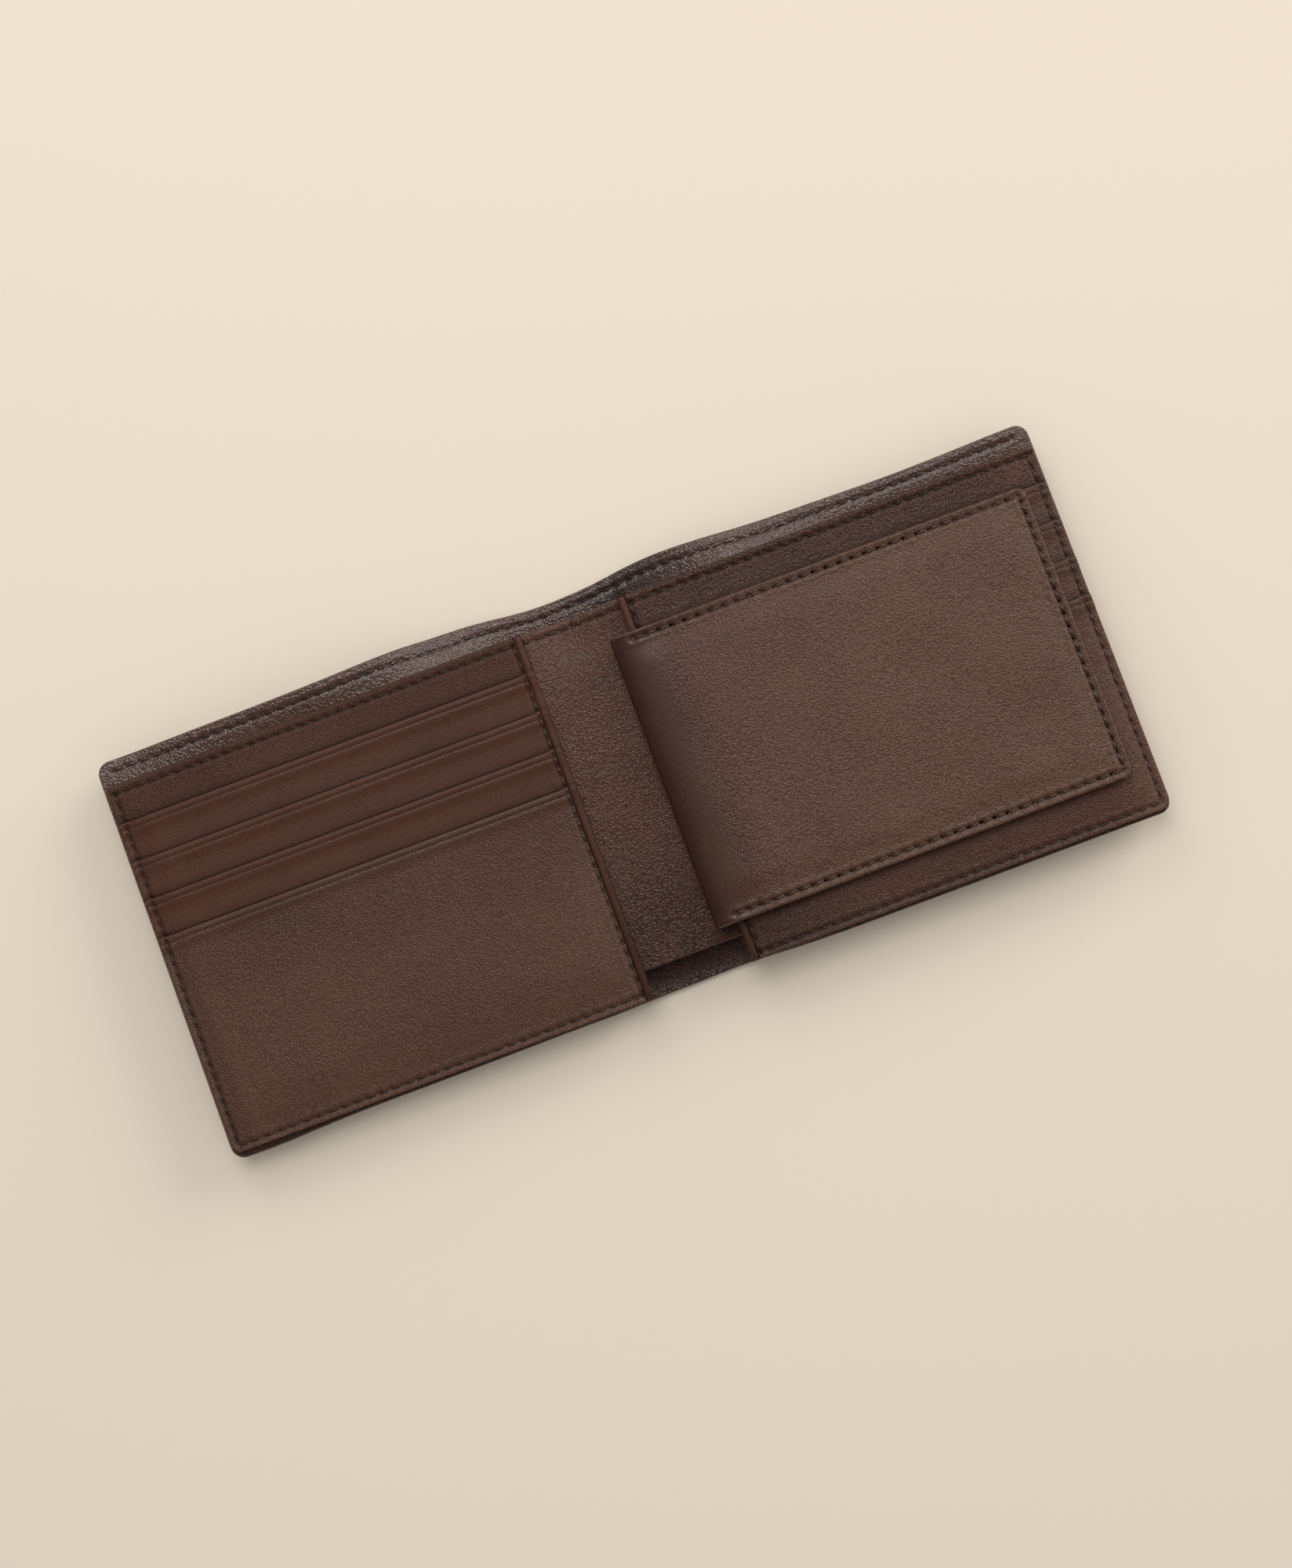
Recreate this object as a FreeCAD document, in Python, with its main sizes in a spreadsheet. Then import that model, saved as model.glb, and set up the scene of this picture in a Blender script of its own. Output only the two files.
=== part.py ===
import FreeCAD, Part

import os
import re

import Sketcher

# Bifold wallet lying open with a removable card case in its right half.
# +X runs along the open length, +Y up the height, +Z away from the outer leather.
# The origin is on the outer face of the spine, at the middle of the open wallet.

SIZES = [
    ("cover_half_width", 112.0, "middle of the spine to the outer edge of the cover"),
    ("cover_height", 93.8, "bottom edge to top edge of the cover"),
    ("cover_corner_radius", 3.0, "outer corners of cover and lining"),
    ("cover_leather", 1.2, "outer leather"),
    ("lining_leather", 0.8, "lining glued to the outer leather"),
    ("spine_width", 12.4, "distance between the two fold lines"),
    ("fold_clearance", 0.1, "slit left at each fold line"),
    ("valley_depth", 6.5, "how far the slack cover sinks at the spine"),
    ("valley_run", 34.0, "length over which the cover climbs out of the valley"),
    ("spine_dip", 1.3, "how much lower the top edge of the cover is at the spine"),
    ("spine_rise", 0.5, "how much higher the bottom edge of the cover is at the spine"),
    ("spine_dip_run", 18.0, "length over which both edges come back to full height"),
    ("seam_margin", 0.8, "painted rim of the cover outside the inner leather"),
    ("ply_gap", 0.12, "air between loose layers"),
    ("divider_leather", 0.8, "front wall of the bill compartment"),
    ("divider_drop", 5.9, "top edge of the cover to the top edge of the divider"),
    ("divider_notch_height", 6.4, "foot of the divider cut away at the spine"),
    ("divider_notch_cover", 1.6, "how far the notch reaches behind the card panels"),
    ("panel_inset", 11.6, "middle of the spine to the free edge of a card panel"),
    ("welt_width", 4.0, "seam strip round three sides of a slip pocket"),
    ("left_slip_height", 0.4, "height of the empty slip pocket on the left"),
    ("pocket_leather", 0.7, "visible strip of a card pocket"),
    ("pocket_tail", 0.3, "thin cloth below the visible strip"),
    ("slot_pitch", 9.1, "from one slot mouth to the next"),
    ("slot_overlap", 2.0, "how far a mouth covers the strip behind it"),
    ("slot_ramp", 2.4, "length over which a strip climbs to its mouth"),
    ("binding_width", 1.8, "turned free edge of a card panel"),
    ("binding_rise", 0.2, "how far the turned edge stands over the strips"),
    ("panel_corner_radius", 1.6, "outer corners of divider and card panel"),
    ("case_left_edge", 6.8, "middle of the spine to the folded side of the case"),
    ("case_side_gap", 5.8, "outer side of the inner leather to the free side of the case"),
    ("case_foot_gap", 9.4, "foot of the card panel to the bottom edge of the case"),
    ("case_drop", 8.7, "top edge of the card panel to the top edge of the case"),
    ("case_corner_radius", 2.2, "free corners of the case"),
    ("case_edge_radius", 0.4, "rounded rim of the front leaf"),
    ("case_clearance", 0.25, "air between the case and the wallet"),
    ("case_leather", 1.0, "outer leather of the case"),
    ("case_back_leather", 0.7, "leaf that sits in the slip pocket"),
    ("case_back_pocket", 0.5, "card pocket on the inside of that leaf"),
    ("case_pocket_drop", 7.0, "top edge of the leaf to the mouth of its pocket"),
    ("case_pocket_margin", 0.8, "edge of the leaf to the edge of its pocket"),
    ("thumb_notch_radius", 9.0, "half-round thumb notch in the mouth"),
    ("case_lining", 0.5, "lining of the front leaf"),
    ("id_film", 0.2, "clear film behind the window frame"),
    ("id_film_lap", 3.0, "film caught behind the frame on each side"),
    ("id_frame", 0.5, "window frame on the inside of the front leaf"),
    ("id_frame_margin", 1.2, "edge of the front leaf to the edge of the frame"),
    ("id_window_width", 76.0, "clear opening of the window"),
    ("id_window_height", 44.0, "clear opening of the window"),
    ("id_window_radius", 4.0, "corners of the window"),
]

SLOTS = 4
TRIM_MARGIN = 2.0

# Places that several pieces share, written from the sizes above.
HALF_HEIGHT = "(cover_height / 2)"
FOLD_LINE = "(spine_width / 2)"
HALF_START = f"({FOLD_LINE} + fold_clearance)"
COVER_PLIES = "(cover_leather + lining_leather)"
DIVIDER_BASE = f"(valley_depth + {COVER_PLIES} + ply_gap)"
DIVIDER_FACE = f"({DIVIDER_BASE} + divider_leather)"
INNER_SIDE = "(cover_half_width - seam_margin)"
INNER_FOOT = f"(seam_margin - {HALF_HEIGHT})"
PANEL_TOP = f"({HALF_HEIGHT} - divider_drop)"
NOTCH_TOP = f"({INNER_FOOT} + divider_notch_height)"
TAIL_STEP = "(pocket_tail + ply_gap)"
PANEL_THICKNESS = f"({SLOTS} * {TAIL_STEP} + 2 * pocket_leather - pocket_tail + binding_rise)"

CASE_BACK = "(case_back_leather + case_back_pocket)"
CASE_SLIP_HEIGHT = f"({CASE_BACK} + 2 * case_clearance)"
CASE_FOOT_FACE = f"({DIVIDER_FACE} + case_clearance)"
CASE_INSIDE = f"({DIVIDER_FACE} + {CASE_SLIP_HEIGHT} + {PANEL_THICKNESS} + case_clearance)"
CASE_TOP_FACE = f"({CASE_INSIDE} + id_frame + id_film + case_lining + case_leather)"
CASE_BEND = f"(({CASE_TOP_FACE} - {CASE_FOOT_FACE}) / 2)"
CASE_FOLD_LINE = f"(case_left_edge + {CASE_BEND})"
CASE_RIGHT = f"({INNER_SIDE} - case_side_gap)"
CASE_TOP = f"({PANEL_TOP} - case_drop)"
CASE_BOTTOM = f"({INNER_FOOT} + case_foot_gap)"

doc = FreeCAD.newDocument("bifold_wallet")
sheet = doc.addObject("Spreadsheet::Sheet", "sizes")
for row, (alias, value, meaning) in enumerate(SIZES, start=1):
    sheet.set(f"A{row}", meaning)
    sheet.set(f"B{row}", str(value))
    sheet.setAlias(f"B{row}", alias)
doc.recompute()

ALIAS = re.compile(r"\b(" + "|".join(alias for alias, _, _ in SIZES) + r")\b")
nodes = []


def bound(text):
    """Return an expression with every size read from the sheet."""
    return ALIAS.sub(r"sizes.\1", str(text))


def number(text):
    """Work out an expression now, for the first guess of a sketch."""
    value = sheet.evalExpression(bound(text))
    return float(getattr(value, "Value", value))


def flipped(path, sign):
    """Return a path for the right half (1) or mirrored for the left half (-1)."""
    return [(f"{sign} * ({x})", y, radius, sign * turn) for x, y, radius, turn in path]


def corner(x, y):
    """A path point that a straight edge leaves."""
    return (x, y, None, 0)


def arc_from(x, y, radius, turn):
    """A path point that an arc leaves, turning left (1) or right (-1)."""
    return (x, y, radius, turn)


def s_curve(x, y, run, rise):
    """Two equal arcs that leave level, climb by rise over run and arrive level."""
    radius = f"(({run}) ^ 2 + ({rise}) ^ 2) / (4 * ({rise}))"
    return [
        arc_from(x, y, radius, 1),
        arc_from(f"{x} + ({run}) / 2", f"{y} + ({rise}) / 2", radius, -1),
        corner(f"{x} + {run}", f"{y} + {rise}"),
    ]


def rounded_box(left, bottom, right, top, radius, round_left=True):
    """A box outline with rounded corners on the right and, if wanted, on the left."""
    path = [
        corner(f"{left} + {radius}" if round_left else left, bottom),
        arc_from(f"{right} - {radius}", bottom, radius, 1),
        corner(right, f"{bottom} + {radius}"),
        arc_from(right, f"{top} - {radius}", radius, 1),
        corner(f"{right} - {radius}", top),
    ]
    if round_left:
        path += [
            arc_from(f"{left} + {radius}", top, radius, 1),
            corner(left, f"{top} - {radius}"),
            arc_from(left, f"{bottom} + {radius}", radius, 1),
        ]
    else:
        path.append(corner(left, top))
    return path


def arc_geometry(start, end, radius, turn):
    """The arc from start to end that turns left (1) or right (-1)."""
    chord = end - start
    half = chord.Length / 2
    offset = max(radius ** 2 - half ** 2, 0.0) ** 0.5
    side = FreeCAD.Vector(-chord.y, chord.x, 0).normalize()
    centre = (start + end) / 2 + side * offset * turn
    circle = Part.Circle(centre, FreeCAD.Vector(0, 0, 1), radius)
    first, last = (start, end) if turn > 0 else (end, start)
    return Part.ArcOfCircle(circle, circle.parameter(first), circle.parameter(last))


def draw(sketch, path):
    """Add one closed loop to a sketch, every corner and radius bound to the sheet."""
    base = sketch.GeometryCount
    points = [FreeCAD.Vector(number(x), number(y), 0) for x, y, _, _ in path]
    for index, (_, _, radius, turn) in enumerate(path):
        start, end = points[index], points[(index + 1) % len(path)]
        if turn:
            sketch.addGeometry(arc_geometry(start, end, number(radius), turn), False)
        else:
            sketch.addGeometry(Part.LineSegment(start, end), False)
    for index, (x, y, radius, turn) in enumerate(path):
        before = (index - 1) % len(path)
        head = 2 if turn < 0 else 1
        tail = 1 if path[before][3] < 0 else 2
        sketch.addConstraint(
            Sketcher.Constraint("Coincident", base + before, tail, base + index, head))
        for kind, text in (("DistanceX", x), ("DistanceY", y)):
            item = sketch.addConstraint(
                Sketcher.Constraint(kind, -1, 1, base + index, head, number(text)))
            sketch.setExpression(f"Constraints[{item}]", bound(text))
        if turn:
            item = sketch.addConstraint(
                Sketcher.Constraint("Radius", base + index, number(radius)))
            sketch.setExpression(f"Constraints[{item}]", bound(radius))


def add_sketch(body, name, role, *paths):
    """A sketch on one of the body's own origin planes."""
    sketch = body.newObject("Sketcher::SketchObject", name)
    plane = next(item for item in body.Origin.OriginFeatures if item.Role == role)
    sketch.AttachmentSupport = [(plane, "")]
    sketch.MapMode = "FlatFace"
    for path in paths:
        draw(sketch, path)
    return sketch


def new_body(name, x="0", z="0"):
    """An empty body whose place is bound to the sheet."""
    body = doc.addObject("PartDesign::Body", name)
    body.Label = name
    body.setExpression("Placement.Base.x", bound(x))
    body.setExpression("Placement.Base.z", bound(z))
    nodes.append(body)
    return body


def pad(body, sketch, length, midplane=False):
    """Thicken a sketch."""
    feature = body.newObject("PartDesign::Pad", f"{body.Name}_pad")
    feature.Profile = sketch
    feature.setExpression("Length", bound(length))
    feature.Midplane = midplane
    doc.recompute()
    return feature


def trim(body, sketch):
    """Cut a sketch right through the body, and make sure that it cut something."""
    before = body.Shape.Volume
    feature = body.newObject("PartDesign::Pocket", f"{sketch.Name}_cut")
    feature.Profile = sketch
    feature.Type = "ThroughAll"
    feature.Midplane = True
    doc.recompute()
    if not body.Shape.Volume < before:
        raise RuntimeError(f"{feature.Name} cuts nothing")


def round_upright_edges(body, radius, chosen):
    """Round the upright edges that chosen(x, y) picks."""
    names = []
    for index, edge in enumerate(body.Shape.Edges, start=1):
        box = edge.BoundBox
        upright = box.ZLength > max(box.XLength, box.YLength) + 1e-3
        if upright and chosen(box.Center.x, box.Center.y):
            names.append(f"Edge{index}")
    base = body.Tip
    feature = body.newObject("PartDesign::Fillet", f"{body.Name}_corners")
    feature.Base = (base, names)
    feature.setExpression("Radius", bound(radius))
    doc.recompute()


def round_rim(body, radius, level, fold_side):
    """Round the rim of a leaf's outer face, but not along its folded side."""
    names = []
    for index, edge in enumerate(body.Shape.Edges, start=1):
        box = edge.BoundBox
        on_face = abs(box.ZMin - level) < 1e-3 and abs(box.ZMax - level) < 1e-3
        if on_face and box.XMax > fold_side + 1e-3:
            names.append(f"Edge{index}")
    base = body.Tip
    feature = body.newObject("PartDesign::Fillet", f"{body.Name}_rim")
    feature.Base = (base, names)
    feature.setExpression("Radius", bound(radius))
    doc.recompute()


def plate(name, outline, base, thickness, *holes):
    """A flat piece cut from sheet leather."""
    body = new_body(name, z=base)
    sketch = add_sketch(body, f"{name}_outline", "XY_Plane", outline, *holes)
    pad(body, sketch, thickness)
    return body


def cover_ply(side, sign, name, inner, outer):
    """One ply of a cover half: flat, then down an S into the valley at the spine.

    inner and outer are the distances of its two faces from the outer leather face.
    """
    bend = "(valley_run ^ 2 + valley_depth ^ 2) / (4 * valley_depth)"
    slope = "(2 * atan(valley_depth / valley_run))"
    middle = f"{HALF_START} + valley_run / 2"
    climb_end = f"{HALF_START} + valley_run"
    section = [
        arc_from(HALF_START, inner, f"{bend} - {inner}", 1),
        arc_from(f"{middle} - {inner} * sin({slope})",
                 f"valley_depth / 2 + {inner} * cos({slope})", f"{bend} + {inner}", -1),
        corner(climb_end, f"valley_depth + {inner}"),
        corner("cover_half_width", f"valley_depth + {inner}"),
        corner("cover_half_width", f"valley_depth + {outer}"),
        arc_from(climb_end, f"valley_depth + {outer}", f"{bend} + {outer}", 1),
        arc_from(f"{middle} - {outer} * sin({slope})",
                 f"valley_depth / 2 + {outer} * cos({slope})", f"{bend} - {outer}", -1),
        corner(HALF_START, outer),
    ]
    body = new_body(f"{side}_{name}")
    profile = add_sketch(body, f"{body.Name}_section", "XZ_Plane", flipped(section, sign))
    pad(body, profile, "cover_height", midplane=True)
    for end, depth, up in (("top", "spine_dip", 1), ("foot", "spine_rise", -1)):
        curve = s_curve(HALF_START, f"{HALF_HEIGHT} - {depth}", "spine_dip_run", depth)
        outside = [
            corner(f"{HALF_START} + spine_dip_run", f"{HALF_HEIGHT} + {TRIM_MARGIN}"),
            corner(f"{HALF_START} - {TRIM_MARGIN}", f"{HALF_HEIGHT} + {TRIM_MARGIN}"),
            corner(f"{HALF_START} - {TRIM_MARGIN}", f"{HALF_HEIGHT} - {depth}"),
        ]
        loop = [(x, f"{up} * ({y})", r, up * turn) for x, y, r, turn in curve + outside]
        trim(body, add_sketch(body, f"{body.Name}_{end}", "XY_Plane", flipped(loop, sign)))
    edge = number("cover_half_width")
    round_upright_edges(body, "cover_corner_radius", lambda x, y: abs(abs(x) - edge) < 1e-3)


def spine_ply(name, bottom, top, base, thickness):
    """One ply between the two fold lines."""
    outline = [
        corner(f"-{FOLD_LINE}", bottom),
        corner(FOLD_LINE, bottom),
        corner(FOLD_LINE, top),
        corner(f"-{FOLD_LINE}", top),
    ]
    plate(name, outline, base, thickness)


def divider_half(side, sign):
    """Front wall of the bill compartment, its foot cut away beside the spine."""
    notch_side = "panel_inset + divider_notch_cover"
    outline = [
        corner(HALF_START, NOTCH_TOP),
        corner(notch_side, NOTCH_TOP),
        corner(notch_side, INNER_FOOT),
        arc_from(f"{INNER_SIDE} - panel_corner_radius", INNER_FOOT, "panel_corner_radius", 1),
        corner(INNER_SIDE, f"{INNER_FOOT} + panel_corner_radius"),
        arc_from(INNER_SIDE, f"{PANEL_TOP} - panel_corner_radius", "panel_corner_radius", 1),
        corner(f"{INNER_SIDE} - panel_corner_radius", PANEL_TOP),
        corner(HALF_START, PANEL_TOP),
    ]
    plate(f"{side}_divider", flipped(outline, sign), DIVIDER_BASE, "divider_leather")


def slip_pocket_welt(side, sign, height):
    """Seam strip that closes the slip pocket on all sides but the one at the spine."""
    inner_side = f"{INNER_SIDE} - welt_width"
    outline = [
        corner("panel_inset", INNER_FOOT),
        arc_from(f"{INNER_SIDE} - panel_corner_radius", INNER_FOOT, "panel_corner_radius", 1),
        corner(INNER_SIDE, f"{INNER_FOOT} + panel_corner_radius"),
        arc_from(INNER_SIDE, f"{PANEL_TOP} - panel_corner_radius", "panel_corner_radius", 1),
        corner(f"{INNER_SIDE} - panel_corner_radius", PANEL_TOP),
        corner("panel_inset", PANEL_TOP),
        corner("panel_inset", f"{PANEL_TOP} - welt_width"),
        corner(inner_side, f"{PANEL_TOP} - welt_width"),
        corner(inner_side, f"{INNER_FOOT} + welt_width"),
        corner("panel_inset", f"{INNER_FOOT} + welt_width"),
    ]
    plate(f"{side}_slip_pocket_welt", flipped(outline, sign), DIVIDER_FACE, height)


def mouth(slot):
    """Height of a slot mouth; slot 0 is the top edge of the panel."""
    return f"({PANEL_TOP} - {slot} * slot_pitch)"


def strip_back(slot):
    """Height of the back face of a pocket's tail over the back of the panel."""
    return f"({slot} * {TAIL_STEP})"


def strip_front(slot, extra="0"):
    """Front face of a pocket strip, from its mouth down to the next mouth.

    The strip lies on the tails behind it and climbs over the strip above it.
    """
    low = f"{strip_back(slot)} + pocket_leather + {extra}"
    if slot == 0:
        return [corner(mouth(0), low)]
    high = f"{low} + pocket_leather - pocket_tail"
    return [
        corner(mouth(slot), high),
        corner(f"{mouth(slot)} - slot_overlap", high),
        corner(f"{mouth(slot)} - slot_overlap - slot_ramp", low),
    ]


def card_pocket(side, slot, start, length, base):
    """One card pocket: leather strip with a turned mouth, and a thin tail to the seam."""
    back = strip_back(slot)
    raised = f"{back} + pocket_leather - pocket_tail" if slot else back
    nose = "pocket_leather / 2"
    front = strip_front(slot)
    _, high, _, _ = front[0]
    path = [
        arc_from(f"{mouth(slot)} - {nose}", raised, nose, 1),
        arc_from(mouth(slot), f"{raised} + {nose}", nose, 1),
        corner(f"{mouth(slot)} - {nose}", high),
    ]
    path += front[1:]
    if slot < SLOTS:
        lower_end = f"{mouth(slot + 1)} - slot_overlap"
        path += [
            corner(lower_end, f"{back} + pocket_leather"),
            corner(lower_end, f"{back} + pocket_tail"),
            corner(INNER_FOOT, f"{back} + pocket_tail"),
        ]
    else:
        path.append(corner(INNER_FOOT, f"{back} + pocket_leather"))
    path.append(corner(INNER_FOOT, back))
    if slot:
        path += [
            corner(f"{mouth(slot)} - slot_overlap - slot_ramp", back),
            corner(f"{mouth(slot)} - slot_overlap", raised),
        ]
    name = f"{side}_card_pocket_{slot}" if slot else f"{side}_card_backing"
    body = new_body(name, x=start, z=base)
    pad(body, add_sketch(body, f"{name}_section", "YZ_Plane", path), length)
    edge, foot = number(INNER_SIDE), number(INNER_FOOT)
    round_upright_edges(
        body, "panel_corner_radius",
        lambda x, y: abs(abs(x) - edge) < 1e-3 and abs(y - foot) < 1e-3)


def edge_binding(side, start, base):
    """Turned free edge of a card panel, stepped like the strips that it closes."""
    path = [corner(INNER_FOOT, "0"), corner(mouth(0), "0")]
    path += strip_front(0, "binding_rise")
    for slot in range(1, SLOTS + 1):
        above = f"{strip_back(slot - 1)} + pocket_leather + binding_rise"
        path.append(corner(mouth(slot), above))
        path += strip_front(slot, "binding_rise")
    path.append(corner(INNER_FOOT, f"{strip_back(SLOTS)} + pocket_leather + binding_rise"))
    body = new_body(f"{side}_edge_binding", x=start, z=base)
    section = add_sketch(body, f"{body.Name}_section", "YZ_Plane", path)
    pad(body, section, "binding_width")


def card_panel(side, sign, base):
    """Backing, four card pockets and the turned free edge of one half."""
    strip_start = "(panel_inset + binding_width)"
    length = f"{INNER_SIDE} - {strip_start}"
    start = strip_start if sign > 0 else f"-{INNER_SIDE}"
    for slot in range(SLOTS + 1):
        card_pocket(side, slot, start, length, base)
    edge_binding(side, "panel_inset" if sign > 0 else f"-{strip_start}", base)


def wallet_half(side, sign, slip_height):
    """Everything that turns with one half of the wallet."""
    cover_ply(side, sign, "cover", "0", "cover_leather")
    cover_ply(side, sign, "lining", "cover_leather", COVER_PLIES)
    divider_half(side, sign)
    slip_pocket_welt(side, sign, slip_height)
    card_panel(side, sign, f"{DIVIDER_FACE} + {slip_height}")


def wallet_spine():
    """The strip between the fold lines: cover, lining and the divider above them."""
    top = f"{HALF_HEIGHT} - spine_dip"
    bottom = f"spine_rise - {HALF_HEIGHT}"
    spine_ply("spine_cover", bottom, top, "0", "cover_leather")
    spine_ply("spine_lining", bottom, top, "cover_leather", "lining_leather")
    spine_ply("spine_divider", NOTCH_TOP, PANEL_TOP, DIVIDER_BASE, "divider_leather")


def case_back():
    """Leaf in the slip pocket, with a card pocket and its thumb notch."""
    left = f"({CASE_FOLD_LINE} + fold_clearance)"
    outline = rounded_box(left, CASE_BOTTOM, CASE_RIGHT, CASE_TOP, "case_corner_radius", False)
    plate("case_back_leaf", outline, CASE_FOOT_FACE, "case_back_leather")
    right = f"({CASE_RIGHT} - case_pocket_margin)"
    bottom = f"({CASE_BOTTOM} + case_pocket_margin)"
    top = f"({CASE_TOP} - case_pocket_drop)"
    middle = f"(({left} + {right}) / 2)"
    pocket = [
        corner(left, bottom),
        arc_from(f"{right} - case_corner_radius", bottom, "case_corner_radius", 1),
        corner(right, f"{bottom} + case_corner_radius"),
        corner(right, top),
        arc_from(f"{middle} + thumb_notch_radius", top, "thumb_notch_radius", -1),
        arc_from(middle, f"{top} - thumb_notch_radius", "thumb_notch_radius", -1),
        corner(f"{middle} - thumb_notch_radius", top),
        corner(left, top),
    ]
    base = f"{CASE_FOOT_FACE} + case_back_leather"
    plate("case_back_card_pocket", pocket, base, "case_back_pocket")


def case_spine():
    """Smooth fold of the case, a half ring of leather round the card panel's edge."""
    ring = f"({CASE_BEND} - case_leather)"
    section = [
        arc_from("0", f"-{CASE_BEND}", CASE_BEND, -1),
        arc_from(f"-{CASE_BEND}", "0", CASE_BEND, -1),
        corner("0", CASE_BEND),
        arc_from("0", ring, ring, 1),
        arc_from(f"-{ring}", "0", ring, 1),
        corner("0", f"-{ring}"),
    ]
    body = new_body("case_spine", x=CASE_FOLD_LINE, z=f"{CASE_FOOT_FACE} + {CASE_BEND}")
    body.setExpression("Placement.Base.y", bound(f"({CASE_TOP} + {CASE_BOTTOM}) / 2"))
    profile = add_sketch(body, "case_spine_section", "XZ_Plane", section)
    pad(body, profile, f"{CASE_TOP} - {CASE_BOTTOM}", midplane=True)


def case_front():
    """Front leaf: outer leather, lining, clear window film and its frame."""
    left = f"({CASE_FOLD_LINE} + fold_clearance)"
    leaf = rounded_box(left, CASE_BOTTOM, CASE_RIGHT, CASE_TOP, "case_corner_radius", False)
    film_base = f"({CASE_INSIDE} + id_frame)"
    lining_base = f"({film_base} + id_film)"
    leather = plate("case_front_leather", leaf, f"{lining_base} + case_lining", "case_leather")
    round_rim(leather, "case_edge_radius", number(CASE_TOP_FACE), number(left))
    plate("case_front_lining", leaf, lining_base, "case_lining")
    middle_x = f"(({left} + {CASE_RIGHT}) / 2)"
    middle_y = f"(({CASE_TOP} + {CASE_BOTTOM}) / 2)"
    window = [f"{middle_x} - id_window_width / 2", f"{middle_y} - id_window_height / 2",
              f"{middle_x} + id_window_width / 2", f"{middle_y} + id_window_height / 2"]
    lap = [f"{edge} {sign} id_film_lap" for edge, sign in zip(window, "--++")]
    plate("case_window_film", rounded_box(*lap, "id_window_radius"), film_base, "id_film")
    frame = rounded_box(f"({left} + id_frame_margin)", f"({CASE_BOTTOM} + id_frame_margin)",
                        f"({CASE_RIGHT} - id_frame_margin)", f"({CASE_TOP} - id_frame_margin)",
                        "case_corner_radius")
    opening = rounded_box(*window, "id_window_radius")
    plate("case_window_frame", frame, CASE_INSIDE, "id_frame", opening)


wallet_half("right", 1, CASE_SLIP_HEIGHT)
wallet_half("left", -1, "left_slip_height")
wallet_spine()
case_back()
case_spine()
case_front()
doc.recompute()

for item in doc.Objects:
    if "Invalid" in item.State or "Error" in item.State:
        raise RuntimeError(f"{item.Name} failed: {item.State}")
for body in nodes:
    shape = body.Shape
    if shape.isNull() or not shape.isValid() or len(shape.Solids) != 1:
        raise RuntimeError(f"{body.Label} is not one valid solid")

os.makedirs("parts", exist_ok=True)
for body in nodes:
    body.Shape.exportStep(os.path.join("parts", f"{body.Label}.step"))
    print(f"{body.Label}: {body.Shape.Volume:.1f} mm3")
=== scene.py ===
import logging
import math
from dataclasses import dataclass, field
from enum import Enum
from typing import Callable, Sequence

import bpy
import numpy as np
from mathutils import Matrix, Vector


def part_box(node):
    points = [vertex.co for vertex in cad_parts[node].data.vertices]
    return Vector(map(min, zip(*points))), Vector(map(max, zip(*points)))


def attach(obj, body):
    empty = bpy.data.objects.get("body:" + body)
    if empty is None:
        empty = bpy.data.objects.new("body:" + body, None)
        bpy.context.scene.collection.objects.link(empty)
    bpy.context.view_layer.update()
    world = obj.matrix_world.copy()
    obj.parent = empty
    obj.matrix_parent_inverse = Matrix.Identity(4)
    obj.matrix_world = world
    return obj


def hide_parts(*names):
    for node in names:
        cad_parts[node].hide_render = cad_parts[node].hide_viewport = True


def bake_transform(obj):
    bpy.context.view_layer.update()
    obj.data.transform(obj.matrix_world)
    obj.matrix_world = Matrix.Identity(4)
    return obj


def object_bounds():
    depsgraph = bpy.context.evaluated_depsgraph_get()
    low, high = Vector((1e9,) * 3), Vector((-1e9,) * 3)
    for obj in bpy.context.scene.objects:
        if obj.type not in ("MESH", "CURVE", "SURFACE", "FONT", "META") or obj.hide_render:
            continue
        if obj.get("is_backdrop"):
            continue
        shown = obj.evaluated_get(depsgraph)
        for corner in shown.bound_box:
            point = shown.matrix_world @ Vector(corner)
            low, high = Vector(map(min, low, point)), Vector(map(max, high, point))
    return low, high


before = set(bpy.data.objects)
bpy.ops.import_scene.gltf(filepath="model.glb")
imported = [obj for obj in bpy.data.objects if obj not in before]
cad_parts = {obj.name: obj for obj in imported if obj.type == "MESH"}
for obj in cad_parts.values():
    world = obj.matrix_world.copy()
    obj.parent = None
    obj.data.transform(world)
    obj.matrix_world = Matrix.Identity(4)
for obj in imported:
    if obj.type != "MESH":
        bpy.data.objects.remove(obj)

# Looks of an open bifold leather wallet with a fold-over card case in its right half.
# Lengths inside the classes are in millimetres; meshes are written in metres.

LOG = logging.getLogger("wallet")
MM = 0.001
SEED = 11
FAR_AWAY = 1e3  # a distance in millimetres that nothing on the wallet reaches

Array = np.ndarray
Relief = Callable[[Array, Array], Array]
Colour = tuple[float, float, float]


class Half(Enum):
    """Which half of the open wallet a piece belongs to."""

    LEFT = -1
    RIGHT = 1

    @property
    def word(self) -> str:
        """Name used in body and node names."""
        return self.name.lower()


class Rim(Enum):
    """How the edge of a ply is finished: radius of the rim as a share of its thickness."""

    TURNED = 0.48
    PAINTED = 0.30


def box_mm(node: str) -> tuple[Vector, Vector]:
    """Corners of a CAD node at rest, in millimetres."""
    low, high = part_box(node)
    return low / MM, high / MM


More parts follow.
